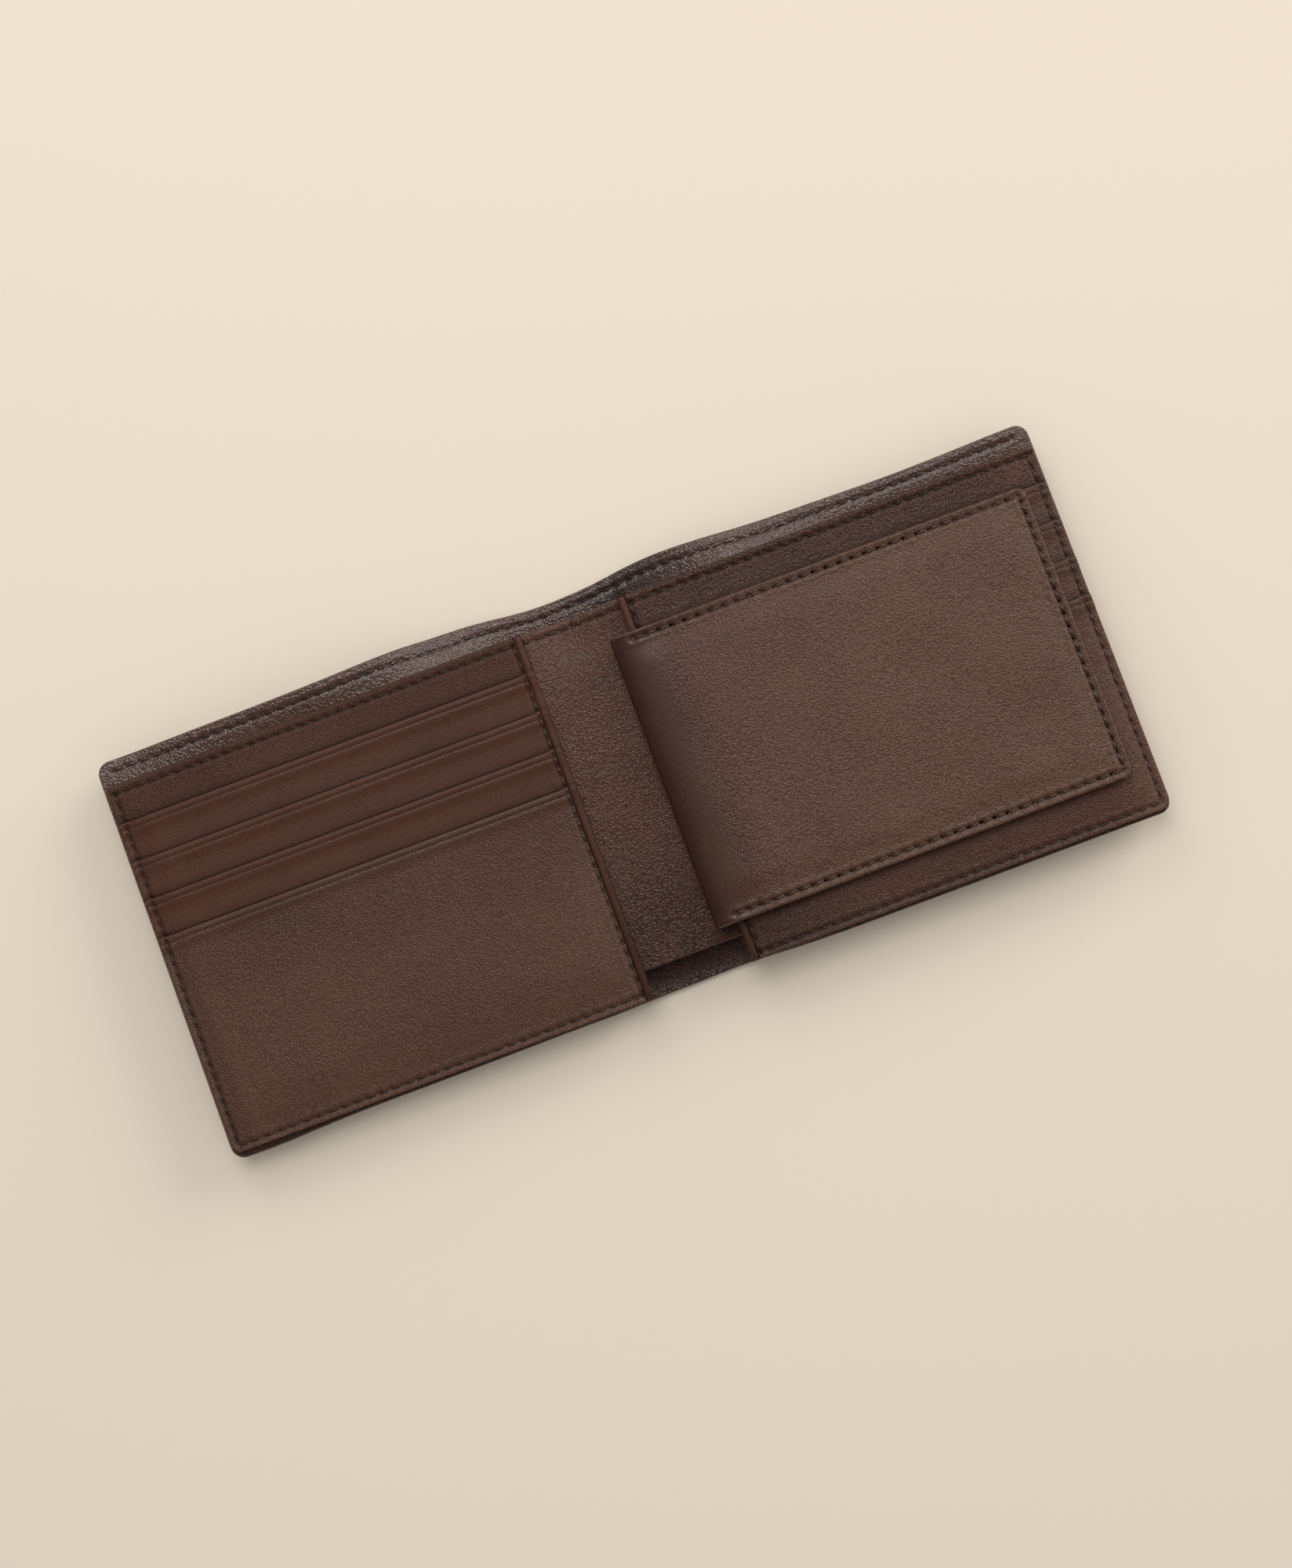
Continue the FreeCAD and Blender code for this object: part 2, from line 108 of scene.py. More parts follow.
def spread(low: float, high: float, step: float, marks: Sequence[float] = (),
           fine: float = 0.22, reach: float = 1.3) -> Array:
    """Grid lines from low to high, closer together around the marks.

    Args:
        low: First line.
        high: Last line.
        step: Usual distance between lines.
        marks: Places that need detail.
        fine: Distance between lines near a mark.
        reach: How far each side of a mark the fine lines go.

    Returns:
        Sorted positions.
    """
    lines = list(np.linspace(low, high, max(2, int(math.ceil((high - low) / step)) + 1)))
    for mark in marks:
        lines += list(np.arange(mark - reach, mark + reach + fine / 2, fine))
    lines = np.unique(np.round([v for v in lines if low - 1e-9 <= v <= high + 1e-9], 4))
    keep = [lines[0]]
    for value in lines[1:]:
        if value - keep[-1] > fine * 0.45:
            keep.append(value)
    keep[-1] = high
    return np.array(keep)


def ripple(seed: int, size: float, height: float) -> Relief:
    """A slow uneven swell made of a few sine waves.

    Args:
        seed: Picks the waves.
        size: Mean length of a wave.
        height: Largest rise.

    Returns:
        A function that gives the height at points.
    """
    rng = np.random.default_rng(SEED + seed)
    waves = [(rng.uniform(0.6, 1.5) * 2 * math.pi / size, rng.uniform(0, math.pi),
              rng.uniform(0, 2 * math.pi)) for _ in range(6)]

    def relief(x: Array, y: Array) -> Array:
        """Height of the swell at the points."""
        total = sum(np.sin(k * (x * math.cos(a) + y * math.sin(a)) + p) for k, a, p in waves)
        return height * total / 3.0

    return relief


def bump(distance: Array, width: float) -> Array:
    """One at the line, falling smoothly to nothing about twice the width away."""
    return np.exp(-((distance / width) ** 2))


def smoothstep(low: float, high: float, value: Array) -> Array:
    """Zero below low, one above high and smooth between."""
    t = np.clip((value - low) / (high - low), 0, 1)
    return t * t * (3 - 2 * t)


# ---------------------------------------------------------------- finishes


@dataclass(frozen=True)
class LeatherFinish:
    """Pebbled, drum-dyed leather.

    The colour runs from deep over base to pale: deep in the grain's valleys and painted shade, pale
    on paler edges and painted highlights.
    Grain is in cells per metre and depth in metres.
    """

    name: str
    base: Colour = (0.0885, 0.0390, 0.0240)
    deep: Colour = (0.026, 0.0085, 0.0050)
    pale: Colour = (0.165, 0.078, 0.052)
    grain: float = 2100.0
    depth: float = 0.00011
    roughness: float = 0.37
    gloss: float = 0.31
    contrast: float = 0.62
    wrinkle: float = 1.2
    cloud: float = 0.11


@dataclass(frozen=True)
class PlainFinish:
    """A finish with no grain: thread, edge paint or clear film."""

    name: str
    base: Colour
    roughness: float = 0.5
    transmission: float = 0.0


LEATHER = LeatherFinish("wallet_leather")
SOFT_LEATHER = LeatherFinish("soft_leather", base=(0.107, 0.0465, 0.0295), grain=1600.0,
                             depth=0.00012, roughness=0.34, gloss=0.74, contrast=0.80,
                             wrinkle=2.0)
DIVIDER_LEATHER = LeatherFinish("divider_leather", base=(0.115, 0.0490, 0.0295), grain=1700.0,
                                depth=0.00014, roughness=0.34, gloss=0.33, contrast=0.64,
                                wrinkle=1.5)
BACKING_LEATHER = LeatherFinish("backing_leather", base=(0.106, 0.0450, 0.0268), grain=1700.0,
                                depth=0.00013, roughness=0.35, gloss=0.25, contrast=0.64,
                                wrinkle=1.6)
# The wallet leather with less gloss and grain and a slightly darker, redder base, a painted shade
# for the left strips and the turned edges.
STRIP_LEATHER = LeatherFinish("strip_leather", base=(0.088, 0.0360, 0.0218), grain=2200.0,
                              depth=0.00004, gloss=0.20, contrast=0.50)
HEM_LEATHER = LeatherFinish("hem_leather", base=(0.0890, 0.0400, 0.0250), depth=0.00010,
                            gloss=0.16, roughness=0.40)
CASE_LEATHER = LeatherFinish("case_leather", base=(0.1310, 0.0645, 0.0385),
                             deep=(0.036, 0.0110, 0.0065), pale=(0.215, 0.115, 0.076),
                             depth=0.00012, gloss=0.40, cloud=0.06)
INNER_LEATHER = LeatherFinish("case_inner_leather", depth=0.00004, contrast=0.3)
EDGE_PAINT = PlainFinish("edge_paint", (0.075, 0.052, 0.030), 0.45)
THREAD = PlainFinish("thread", (0.026, 0.013, 0.009), 0.38)
CASE_THREAD = PlainFinish("case_thread", (0.048, 0.022, 0.014), 0.45)
# Near black: the needle holes are painted dark as the shade inside them.
HOLE_SHADE = PlainFinish("stitch_hole_shade", (0.006, 0.003, 0.002), 0.9)
FILM = PlainFinish("window_film", (0.9, 0.9, 0.88), 0.08, 0.95)


def add_node(tree: bpy.types.NodeTree, kind: str, feeds: dict[str | int, object],
             **settings: object) -> bpy.types.NodeOutputs:
    """Adds a shader node, sets it up and feeds its inputs.

    Args:
        tree: Where the node goes.
        kind: Its type, without the leading ShaderNode.
        feeds: A value or another node's output for each input.
        settings: Properties of the node.

    Returns:
        The outputs of the new node.
    """
    node = tree.nodes.new(f"ShaderNode{kind}")
    for name, value in settings.items():
        setattr(node, name, value)
    for key, value in feeds.items():
        if isinstance(value, bpy.types.NodeSocket):
            tree.links.new(value, node.inputs[key])
        else:
            node.inputs[key].default_value = value
    return node.outputs


def maths(tree: bpy.types.NodeTree, operation: str, *terms: object) -> bpy.types.NodeSocket:
    """Adds a Math node for two or three terms and returns its output."""
    return add_node(tree, "Math", dict(enumerate(terms)), operation=operation)[0]


def remap(tree: bpy.types.NodeTree, value: bpy.types.NodeSocket, low: float, high: float,
          to_low: float, to_high: float) -> bpy.types.NodeSocket:
    """Adds a Map Range node.

    Args:
        tree: Where the node goes.
        value: What it maps.
        low: Start of the range that comes in.
        high: Its end.
        to_low: Start of the range that goes out.
        to_high: Its end.

    Returns:
        The output of the node.
    """
    feeds = {"Value": value, "From Min": low, "From Max": high, "To Min": to_low,
             "To Max": to_high}
    return add_node(tree, "MapRange", feeds)["Result"]


class NodeGroups:
    """Shared shader effects, each made once."""

    warp_scale = 1600.0
    warp_reach = 0.0002
    clump_share = 0.42
    fold_share = 0.22

    @staticmethod
    def _start(name: str, inputs: dict[str, float | None],
               outputs: Sequence[str]) -> bpy.types.NodeTree:
        """Makes an empty group with its sockets.

        Args:
            name: Name of the group.
            inputs: First value of each number; None makes a vector.
            outputs: Names of the numbers that it puts out.

        Returns:
            The group's tree.
        """
        tree = bpy.data.node_groups.new(name, "ShaderNodeTree")
        for key, value in inputs.items():
            kind = "NodeSocketVector" if value is None else "NodeSocketFloat"
            item = tree.interface.new_socket(key, in_out="INPUT", socket_type=kind)
            if value is not None:
                item.default_value = value
        for key in outputs:
            tree.interface.new_socket(key, in_out="OUTPUT", socket_type="NodeSocketFloat")
        return tree

    @classmethod
    def grain(cls) -> bpy.types.NodeTree:
        """Pebble grain: warped cells with clumps, broad folds and soft valleys.

        Returns:
            A group with Vector, Scale and Wrinkle in, Height and Valley out.
        """
        found = bpy.data.node_groups.get("leather_grain")
        if found:
            return found
        tree = cls._start("leather_grain", {"Vector": None, "Scale": 1500.0, "Wrinkle": 1.0},
                          ("Height", "Valley"))
        inside = tree.nodes.new("NodeGroupInput").outputs
        outside = tree.nodes.new("NodeGroupOutput").inputs
        point, scale = inside["Vector"], inside["Scale"]
        warp = add_node(tree, "TexNoise",
                        {"Vector": point, "Scale": cls.warp_scale, "Detail": 2.0})
        moved = add_node(tree, "VectorMath",
                         {0: warp["Color"], 1: (cls.warp_reach,) * 3, 2: point},
                         operation="MULTIPLY_ADD")
        cells = add_node(tree, "TexVoronoi",
                         {"Vector": moved[0], "Scale": scale, "Smoothness": 0.35,
                          "Randomness": 0.75}, feature="SMOOTH_F1")
        clumps = add_node(tree, "TexNoise",
                          {"Vector": point, "Detail": 3.0,
                           "Scale": maths(tree, "MULTIPLY", scale, cls.clump_share)})
        folds = add_node(tree, "TexNoise",
                         {"Vector": point, "Detail": 2.0, "Distortion": 0.6,
                          "Scale": maths(tree, "MULTIPLY", scale, cls.fold_share)})
        pebble = remap(tree, cells["Distance"], 0.15, 0.75, 1.0, 0.0)
        total = maths(tree, "MULTIPLY_ADD", clumps["Fac"], 0.35, pebble)
        height = maths(tree, "MULTIPLY_ADD", folds["Fac"], inside["Wrinkle"], total)
        tree.links.new(height, outside["Height"])
        tree.links.new(maths(tree, "SUBTRACT", 1.0, pebble), outside["Valley"])
        return tree

    @classmethod
    def mottle(cls) -> bpy.types.NodeTree:
        """Uneven dye: slow clouds with a little fine speckle.

        Returns:
            A group with Vector in and Amount out.
        """
        found = bpy.data.node_groups.get("dye_mottle")
        if found:
            return found
        tree = cls._start("dye_mottle", {"Vector": None}, ("Amount",))
        point = tree.nodes.new("NodeGroupInput").outputs["Vector"]
        slow = add_node(tree, "TexNoise", {"Vector": point, "Scale": 55.0, "Detail": 4.0})
        fast = add_node(tree, "TexNoise", {"Vector": point, "Scale": 1300.0, "Detail": 1.0})
        clouds = maths(tree, "MULTIPLY", slow["Fac"], 0.55)
        amount = maths(tree, "MULTIPLY_ADD", fast["Fac"], 0.45, clouds)
        tree.links.new(amount, tree.nodes.new("NodeGroupOutput").inputs["Amount"])
        return tree


class Finishes:
    """Makes each material once and hands it out."""

    mean_grain = 0.33
    cloud_low, cloud_high = 0.36, 0.64

    def __init__(self) -> None:
        """Starts with no material made."""
        self._made: dict[str, bpy.types.Material] = {}

    def get(self, finish: LeatherFinish | PlainFinish) -> bpy.types.Material:
        """The material of a finish.

        Args:
            finish: What the surface is.

        Returns:
            The Blender material.
        """
        if finish.name not in self._made:
            material = bpy.data.materials.new(finish.name)
            material.use_nodes = True
            shader = material.node_tree.nodes["Principled BSDF"]
            if isinstance(finish, LeatherFinish):
                self._leather(material.node_tree, shader, finish)
            else:
                self._plain(material.node_tree, shader, finish)
            self._made[finish.name] = material
            LOG.info("finish %s", finish.name)
        return self._made[finish.name]

    def _leather(self, tree: bpy.types.NodeTree, shader: bpy.types.Node,
                 finish: LeatherFinish) -> None:
        """Colours and grains a leather; the mesh gives its tone, painted shade and painted
        highlights included, and how sleek it is.

        Args:
            tree: Nodes of the material.
            shader: Its Principled BSDF.
            finish: What the leather is.
        """
        place = add_node(tree, "TexCoord", {})["Object"]
        grain = add_node(tree, "Group", {"Vector": place, "Scale": finish.grain,
                                         "Wrinkle": finish.wrinkle},
                         node_tree=NodeGroups.grain())
        mottle = add_node(tree, "Group", {"Vector": place}, node_tree=NodeGroups.mottle())
        tone = add_node(tree, "Attribute", {}, attribute_name="tone")["Fac"]
        sleek = add_node(tree, "Attribute", {}, attribute_name="sleek")["Fac"]
        valley, height = (add_node(tree, "Mix", {"Factor": sleek, "A": grain[kind],
                                                 "B": self.mean_grain})["Result"]
                          for kind in ("Valley", "Height"))
        cloud = remap(tree, mottle["Amount"], self.cloud_low, self.cloud_high,
                      -finish.cloud, finish.cloud)
        level = maths(tree, "ADD", cloud, tone)
        shade = maths(tree, "MULTIPLY_ADD", valley, -finish.contrast, level)
        colours = tree.nodes.new("ShaderNodeValToRGB")
        ramp = colours.color_ramp
        ramp.elements[0].color, ramp.elements[1].color = (*finish.deep, 1), (*finish.pale, 1)
        ramp.elements.new(0.5).color = (*finish.base, 1)
        tree.links.new(remap(tree, shade, -1.0, 1.0, 0.0, 1.0), colours.inputs["Fac"])
        tree.links.new(colours.outputs["Color"], shader.inputs["Base Color"])
        rough = remap(tree, grain["Valley"], 0.0, 1.0, finish.roughness - 0.05,
                      finish.roughness + 0.18)
        tree.links.new(rough, shader.inputs["Roughness"])
        relief = add_node(tree, "Bump", {"Distance": finish.depth, "Strength": 1.0,
                                         "Height": height})
        tree.links.new(relief["Normal"], shader.inputs["Normal"])
        shader.inputs["Specular IOR Level"].default_value = finish.gloss

    def _plain(self, tree: bpy.types.NodeTree, shader: bpy.types.Node,
               finish: PlainFinish) -> None:
        """Colours a plain finish with a fine speckle.

        Args:
            tree: Nodes of the material.
            shader: Its Principled BSDF.
            finish: What the surface is.
        """
        place = add_node(tree, "TexCoord", {})["Object"]
        noise = add_node(tree, "TexNoise", {"Vector": place, "Scale": 2600.0})["Fac"]
        dark, light = ((*[min(c * k, 1) for c in finish.base], 1) for k in (0.8, 1.15))
        shade = add_node(tree, "Mix", {"Factor": noise, "A": dark, "B": light},
                         data_type="RGBA")["Result"]
        tree.links.new(shade, shader.inputs["Base Color"])
        shader.inputs["Roughness"].default_value = finish.roughness
        shader.inputs["Transmission Weight"].default_value = finish.transmission
        if not finish.transmission:
            relief = add_node(tree, "Bump", {"Distance": 0.00003, "Height": noise})
            tree.links.new(relief["Normal"], shader.inputs["Normal"])


# ---------------------------------------------------------------- geometry


class Profile:
    """A line in the XZ plane that a ply follows, measured along its length."""

    def __init__(self, points: Sequence[tuple[float, float]], start: float = 0.0) -> None:
        """Measures the line and finds its normals.

        Args:
            points: x and z along the line.
            start: Measure of the first point.
        """
        data = np.array(points, float)
        steps = np.hypot(*np.diff(data, axis=0).T)
        self.length = start + np.concatenate([[0.0], np.cumsum(steps)])
        self.x, self.z = data.T
        dx, dz = np.gradient(self.x, self.length), np.gradient(self.z, self.length)
        norm = np.hypot(dx, dz)
        self.nx, self.nz = -dz / norm, dx / norm

    @classmethod
    def flat(cls, x0: float, x1: float, z: float) -> "Profile":
        """A level line whose measure is x itself."""
        return cls([(x0, z), (x1, z)], x0)

    def at(self, s: Array) -> tuple[Array, Array, Array, Array]:
        """Point and normal at a distance along the line.

        Args:
            s: Distances.

        Returns:
            x, z and the two parts of the unit normal.
        """
        return tuple(np.interp(s, self.length, v) for v in (self.x, self.z, self.nx, self.nz))

    def measure_at_x(self, x: float) -> float:
        """Distance along the line where it first reaches x."""
        order = np.argsort(self.x)
        return float(np.interp(x, self.x[order], self.length[order]))


@dataclass(frozen=True)
class Seam:
    """A straight row of stitches on a ply, along x or y, and how hard its thread pulls."""

    along_x: bool
    place: float
    start: float
    end: float
    pitch: float = 3.05
    pull: float = 1.0
    groove: float = 0.55
    hole_reach: float = 0.7

    @property
    def step(self) -> float:
        """Distance between holes, a whole number of times in the row."""
        return (self.end - self.start) / max(1, round((self.end - self.start) / self.pitch))

    def points(self, shift: float) -> list[tuple[float, float]]:
        """Places in the row.

        Args:
            shift: 0 for the holes, without those at the ends, or 0.5 for the stitches.

        Returns:
            Both measures of each place on the ply.
        """
        count = round((self.end - self.start) / self.step)
        row = [self.start + self.step * (i + shift) for i in range(0 if shift else 1, count)]
        return [(v, self.place) if self.along_x else (self.place, v) for v in row]

    def press(self, x: Array, y: Array) -> tuple[Array, Array]:
        """Height and tone that the thread pulls into the leather.

        Args:
            x: First measure of the points.
            y: Second measure of the points.

        Returns:
            The change of height, deepest at the holes, and the change of tone.
        """
        across, along = (y, x) if self.along_x else (x, y)
        past = np.maximum(np.maximum(self.start - along, along - self.end), 0)
        gap = np.hypot(across - self.place, past)
        turns = (along - self.start) / self.step
        hole = bump(np.abs(turns - np.round(turns)) * self.step, self.hole_reach)
        # The thread lies in a groove between two low swells: the groove is painted dark as shade,
        # darkest at the holes, and the swells paler as painted highlights.
        height = -bump(gap, self.groove) * (0.10 + 0.22 * hole)
        height = height + bump(gap - 1.15, self.groove) * (0.11 - 0.07 * hole)
        tone = 0.12 * bump(gap - 1.0, 0.45) * (1 - hole) - bump(gap, 0.45) * (0.12 + 0.45 * hole)
        return self.pull * height, self.pull * tone


def show(name: str, mesh: bpy.types.Mesh, materials: Sequence[bpy.types.Material],
         marks: Array) -> bpy.types.Object:
    """Finishes a smooth mesh and puts it in the scene.

    Args:
        name: Name of the piece.
        mesh: Its shape.
        materials: Its finishes.
        marks: Which finish each face has.

    Returns:
        The new object.
    """
    for material in materials:
        mesh.materials.append(material)
    mesh.polygons.foreach_set("material_index", marks)
    mesh.polygons.foreach_set("use_smooth", np.ones(len(marks), bool))
    mesh.update()
    piece = bpy.data.objects.new(name, mesh)
    bpy.context.scene.collection.objects.link(piece)
    return piece


@dataclass
class Ply:
    """One sheet of leather as a closed mesh with its own thickness, rim and relief.

    Points are measured by s along the profile and by y across it. The letters l, r, t and b
    stand for the left, right, top and bottom edges. Relief and tone are functions of s and y.
    """

    name: str
    profile: Profile
    s_lines: Array
    y_lines: Array
    thickness: float
    rim: Rim = Rim.TURNED
    rimmed: str = "lrtb"
    corner: float = 0.0
    corners: str = ""
    top: Relief | None = None
    bottom: Relief | None = None
    tone: Relief | None = None
    sleek: Relief | None = None
    swell: Relief | None = None
    seams: list[Seam] = field(default_factory=list)
    sample: float = 0.3
    table_gap: float = 0.02

    def _border(self, s: Array, y: Array) -> Array:
        """How far points lie from the nearest finished edge.

        Args:
            s: Measure of the points along the profile.
            y: Their y.

        Returns:
            The distances.
        """
        far = np.full(s.shape, FAR_AWAY)
        s0, s1, y0, y1 = self.s_lines[0], self.s_lines[-1], self.y_lines[0], self.y_lines[-1]
        for key, gap in (("l", s - s0), ("r", s1 - s), ("b", y - y0), ("t", y1 - y)):
            if key in self.rimmed:
                far = np.minimum(far, gap)
        return far

    def _rolled(self, edge: Array) -> Array:
        """How far the rim rolls a face in.

        Args:
            edge: Distance of the points from the edge.

        Returns:
            The drop, nothing past the rim's radius.
        """
        r = self.rim.value * self.thickness
        inner = np.clip(edge, 0, r)
        return r - np.sqrt(np.maximum(r * r - (r - inner) ** 2, 0))

    def plan(self, s: Array, y: Array) -> tuple[Array, Array]:
        """Rounds the chosen corners and lets the long edges swell.

        Args:
            s: Measure of the points along the profile.
            y: Their y.

        Returns:
            The moved points.
        """
        s, y = s.copy(), y.copy()
        s0, s1, y0, y1 = self.s_lines[0], self.s_lines[-1], self.y_lines[0], self.y_lines[-1]
        r = self.corner
        for key in self.corners.split():
            cx, sx = (s1 - r, 1) if "r" in key else (s0 + r, -1)
            cy, sy = (y1 - r, 1) if "t" in key else (y0 + r, -1)
            u, v = sx * (s - cx) / r, sy * (y - cy) / r
            inside = (u > 0) & (v > 0)
            u, v = np.clip(u, 0, 1), np.clip(v, 0, 1)
            s = np.where(inside, cx + sx * r * u * np.sqrt(1 - v * v / 2), s)
            y = np.where(inside, cy + sy * r * v * np.sqrt(1 - u * u / 2), y)
        if self.swell is not None:
            y = y + self.swell(s, y)
        return s, y

    def lift(self, s: Array, y: Array, edge: Array) -> Array:
        """Height of the upper face over the profile, with seams and rim.

        Args:
            s: Measure of the points along the profile.
            y: Their y.
            edge: Their distance from the edge.

        Returns:
            The heights.
        """
        height = np.zeros(s.shape) if self.top is None else self.top(s, y)
        for seam in self.seams:
            height = height + seam.press(s, y)[0]
        return height - self._rolled(edge)

    def surface(self, s: float, y: float) -> tuple[Vector, Vector]:
        """Finds a place on the upper face, away from the rim.

        Args:
            s: Measure along the profile.
            y: Place across it.

        Returns:
            The point and the normal there, in millimetres.
        """
        e = self.sample

        def point(a: float, b: float) -> Vector:
            """The point for one pair of measures.

            Args:
                a: Measure along the profile.
                b: Place across it.

            Returns:
                The point in millimetres.
            """
            aa, bb = self.plan(np.array([a]), np.array([b]))
            x, z, nx, nz = self.profile.at(aa)
            h = self.lift(np.array([a]), np.array([b]), np.array([FAR_AWAY]))
            return Vector((float(x[0] + nx[0] * h[0]), float(bb[0]), float(z[0] + nz[0] * h[0])))

        here = point(s, y)
        normal = (point(s + e, y) - point(s - e, y)).cross(point(s, y + e) - point(s, y - e))
        return here, normal.normalized()

    def _faces(self, rows: int, cols: int) -> tuple[Array, Array]:
        """Joins the points of the upper and the lower face.

        Args:
            rows: Points along y.
            cols: Points along the profile.

        Returns:
            The faces, and a mark that is one for those of the cut edge.
        """
        count = rows * cols
        index = np.arange(count).reshape(rows, cols)
        a, b, c, d = index[:-1, :-1], index[:-1, 1:], index[1:, 1:], index[1:, :-1]
        upper = np.stack([a, b, c, d], -1).reshape(-1, 4)
        lower = np.stack([a, d, c, b], -1).reshape(-1, 4) + count
        faces = [upper, lower]
        for key, line in (("b", index[0, :]), ("r", index[:, -1]),
                          ("t", index[-1, ::-1]), ("l", index[::-1, 0])):
            if key in self.rimmed:
                faces.append(np.stack([line[1:], line[:-1], line[:-1] + count,
                                       line[1:] + count], -1))
        joined = np.concatenate(faces)
        return joined, (np.arange(len(joined)) >= 2 * len(upper)).astype(np.int32)

    def build(self, material: bpy.types.Material,
              rim_material: bpy.types.Material | None = None) -> bpy.types.Object:
        """Makes the mesh.

        Args:
            material: Finish of both faces.
            rim_material: Finish of the cut edge, if it differs.

        Returns:
            The new object.
        """
        s_grid, y_grid = np.meshgrid(self.s_lines, self.y_lines)
        edge = self._border(s_grid, y_grid)
        s, y = self.plan(s_grid, y_grid)
        x, z, nx, nz = self.profile.at(s)
        up = self.lift(s_grid, y_grid, edge)
        low = -self.thickness * np.ones(s.shape)
        if self.bottom is not None:
            low = self.bottom(s_grid, y_grid)
        low = low + self._rolled(edge)
        upper = np.stack([x + nx * up, y, z + nz * up], -1).reshape(-1, 3)
        lower = np.stack([x + nx * low, y, np.maximum(z + nz * low, self.table_gap)], -1)
        faces, marks = self._faces(*s.shape)
        mesh = bpy.data.meshes.new(self.name)
        points = np.concatenate([upper, lower.reshape(-1, 3)]) * MM
        mesh.from_pydata(points.tolist(), [], faces.tolist())
        tone, sleek = (np.zeros(s.size) if look is None else look(s_grid, y_grid).ravel()
                       for look in (self.tone, self.sleek))
        for seam in self.seams:
            tone = tone + seam.press(s_grid, y_grid)[1].ravel()
        for name, look in (("tone", tone), ("sleek", sleek)):
            values = np.concatenate([look, look]).astype(np.float32)
            mesh.attributes.new(name, "FLOAT", "POINT").data.foreach_set("value", values)
        LOG.info("ply %s, %d faces", self.name, len(faces))
        if rim_material is None:
            return show(self.name, mesh, [material], 0 * marks)
        return show(self.name, mesh, [material, rim_material], marks)


def tube_faces(around: int, rings: int) -> list[list[int]]:
    """Faces between rings of points.

    Args:
        around: Points of a ring.
        rings: How many rings there are.

    Returns:
        The corners of each face.
    """
    return [[r * around + i, r * around + (i + 1) % around,
             (r + 1) * around + (i + 1) % around, (r + 1) * around + i]
            for r in range(rings - 1) for i in range(around)]


@dataclass
class StitchRow:
    """Many short stitches and the holes between them, in one mesh."""

    name: str
    length: float = 2.20
    width: float = 0.38
    height: float = 0.30
    slant: float = 0.10
    arch: float = 0.17
    plunge: float = 0.24
    hole_length: float = 0.85
    hole_width: float = 0.46
    hole_lift: float = 0.05
    unevenness: float = 0.06
    stitches: list[Matrix] = field(default_factory=list)
    holes: list[Matrix] = field(default_factory=list)

    def follow(self, ply: Ply, seam: Seam) -> None:
        """Adds the stitches and holes of one seam.

        Args:
            ply: Sheet that the seam is sewn on.
            seam: The row, measured on the sheet.
        """
        step = (0.4, 0.0) if seam.along_x else (0.0, 0.4)
        for shift, places in ((0.5, self.stitches), (0.0, self.holes)):
            for s, y in seam.points(shift):
                here, normal = ply.surface(s, y)
                ahead, _ = ply.surface(s + step[0], y + step[1])
                along = (ahead - here).normalized()
                side = normal.cross(along).normalized()
                turn = Matrix((along, side, normal)).transposed().to_4x4()
                places.append(Matrix.Translation(here) @ turn)

    def _thread(self) -> tuple[Array, list[list[int]]]:
        """One stitch: a short tube that arches up and dives in at its ends.

        Returns:
            Its points and faces.
        """
        around, rings = 8, 9
        t = np.linspace(-1, 1, rings)
        waist = np.sqrt(np.maximum(1 - t ** 2, 0)) ** 0.5
        angle = np.linspace(0, 2 * math.pi, around, endpoint=False)
        shape = [[v * self.length / 2, math.cos(a) * self.width / 2 * w,
                  math.sin(a) * self.height / 2 * w + self.arch - self.plunge * v * v]
                 for v, w in zip(t, waist) for a in angle]
        return np.array(shape), tube_faces(around, rings)

    def _hole(self) -> tuple[Array, list[list[int]]]:
        """One needle hole: a small dish, painted near black as the shade inside it.

        Returns:
            Its points and faces.
        """
        around = 12
        rings = ((1.0, 0.02), (0.72, -0.02), (0.3, -0.10))
        angle = np.linspace(0, 2 * math.pi, around, endpoint=False)
        shape = [[r * math.cos(a) * self.hole_length / 2,
                  r * math.sin(a) * self.hole_width / 2, z + self.hole_lift]
                 for r, z in rings for a in angle]
        floor = [(len(rings) - 1) * around + i for i in range(around)]
        return np.array(shape), tube_faces(around, len(rings)) + [floor]

    def build(self, thread: bpy.types.Material, hole: bpy.types.Material) -> bpy.types.Object:
        """Makes the mesh of all stitches and holes added so far.

        Args:
            thread: Finish of the stitches.
            hole: Finish of the holes, a painted shade.

        Returns:
            The new object.
        """
        rng = np.random.default_rng(SEED + len(self.stitches))
        verts, polys, marks = [], [], []
        base = 0
        for kind, places in enumerate((self.stitches, self.holes)):
            shape, faces = self._hole() if kind else self._thread()
            for place in places:
                turn = self.slant * (1 - kind) + rng.normal(0, self.unevenness)
                tilt = rng.normal(0, self.unevenness) * (1 - kind)
                size = rng.uniform(0.90, 1.06)
                move = place @ Matrix.Rotation(turn, 4, "Z") @ Matrix.Rotation(tilt, 4, "Y")
                m = np.array(move)
                verts.append((shape * [size, size, 1]) @ m[:3, :3].T + m[:3, 3])
                polys += [[base + v for v in f] for f in faces]
                marks += [kind] * len(faces)
                base += len(shape)
        mesh = bpy.data.meshes.new(self.name)
        mesh.from_pydata((np.concatenate(verts) * MM).tolist(), [], polys)
        LOG.info("stitches %s, %d", self.name, len(self.stitches))
        return show(self.name, mesh, [thread, hole], np.array(marks, np.int32))


# ---------------------------------------------------------------- the wallet


@dataclass(frozen=True)
class Wave:
    """One rise of a loose edge, or one dip where its height is negative."""

    height: float
    place: float
    width: float


def wavy(waves: Sequence[Wave], s: Array) -> Array:
    """Sum of the waves along an edge."""
    return sum(wave.height * bump(s - wave.place, wave.width) for wave in waves)


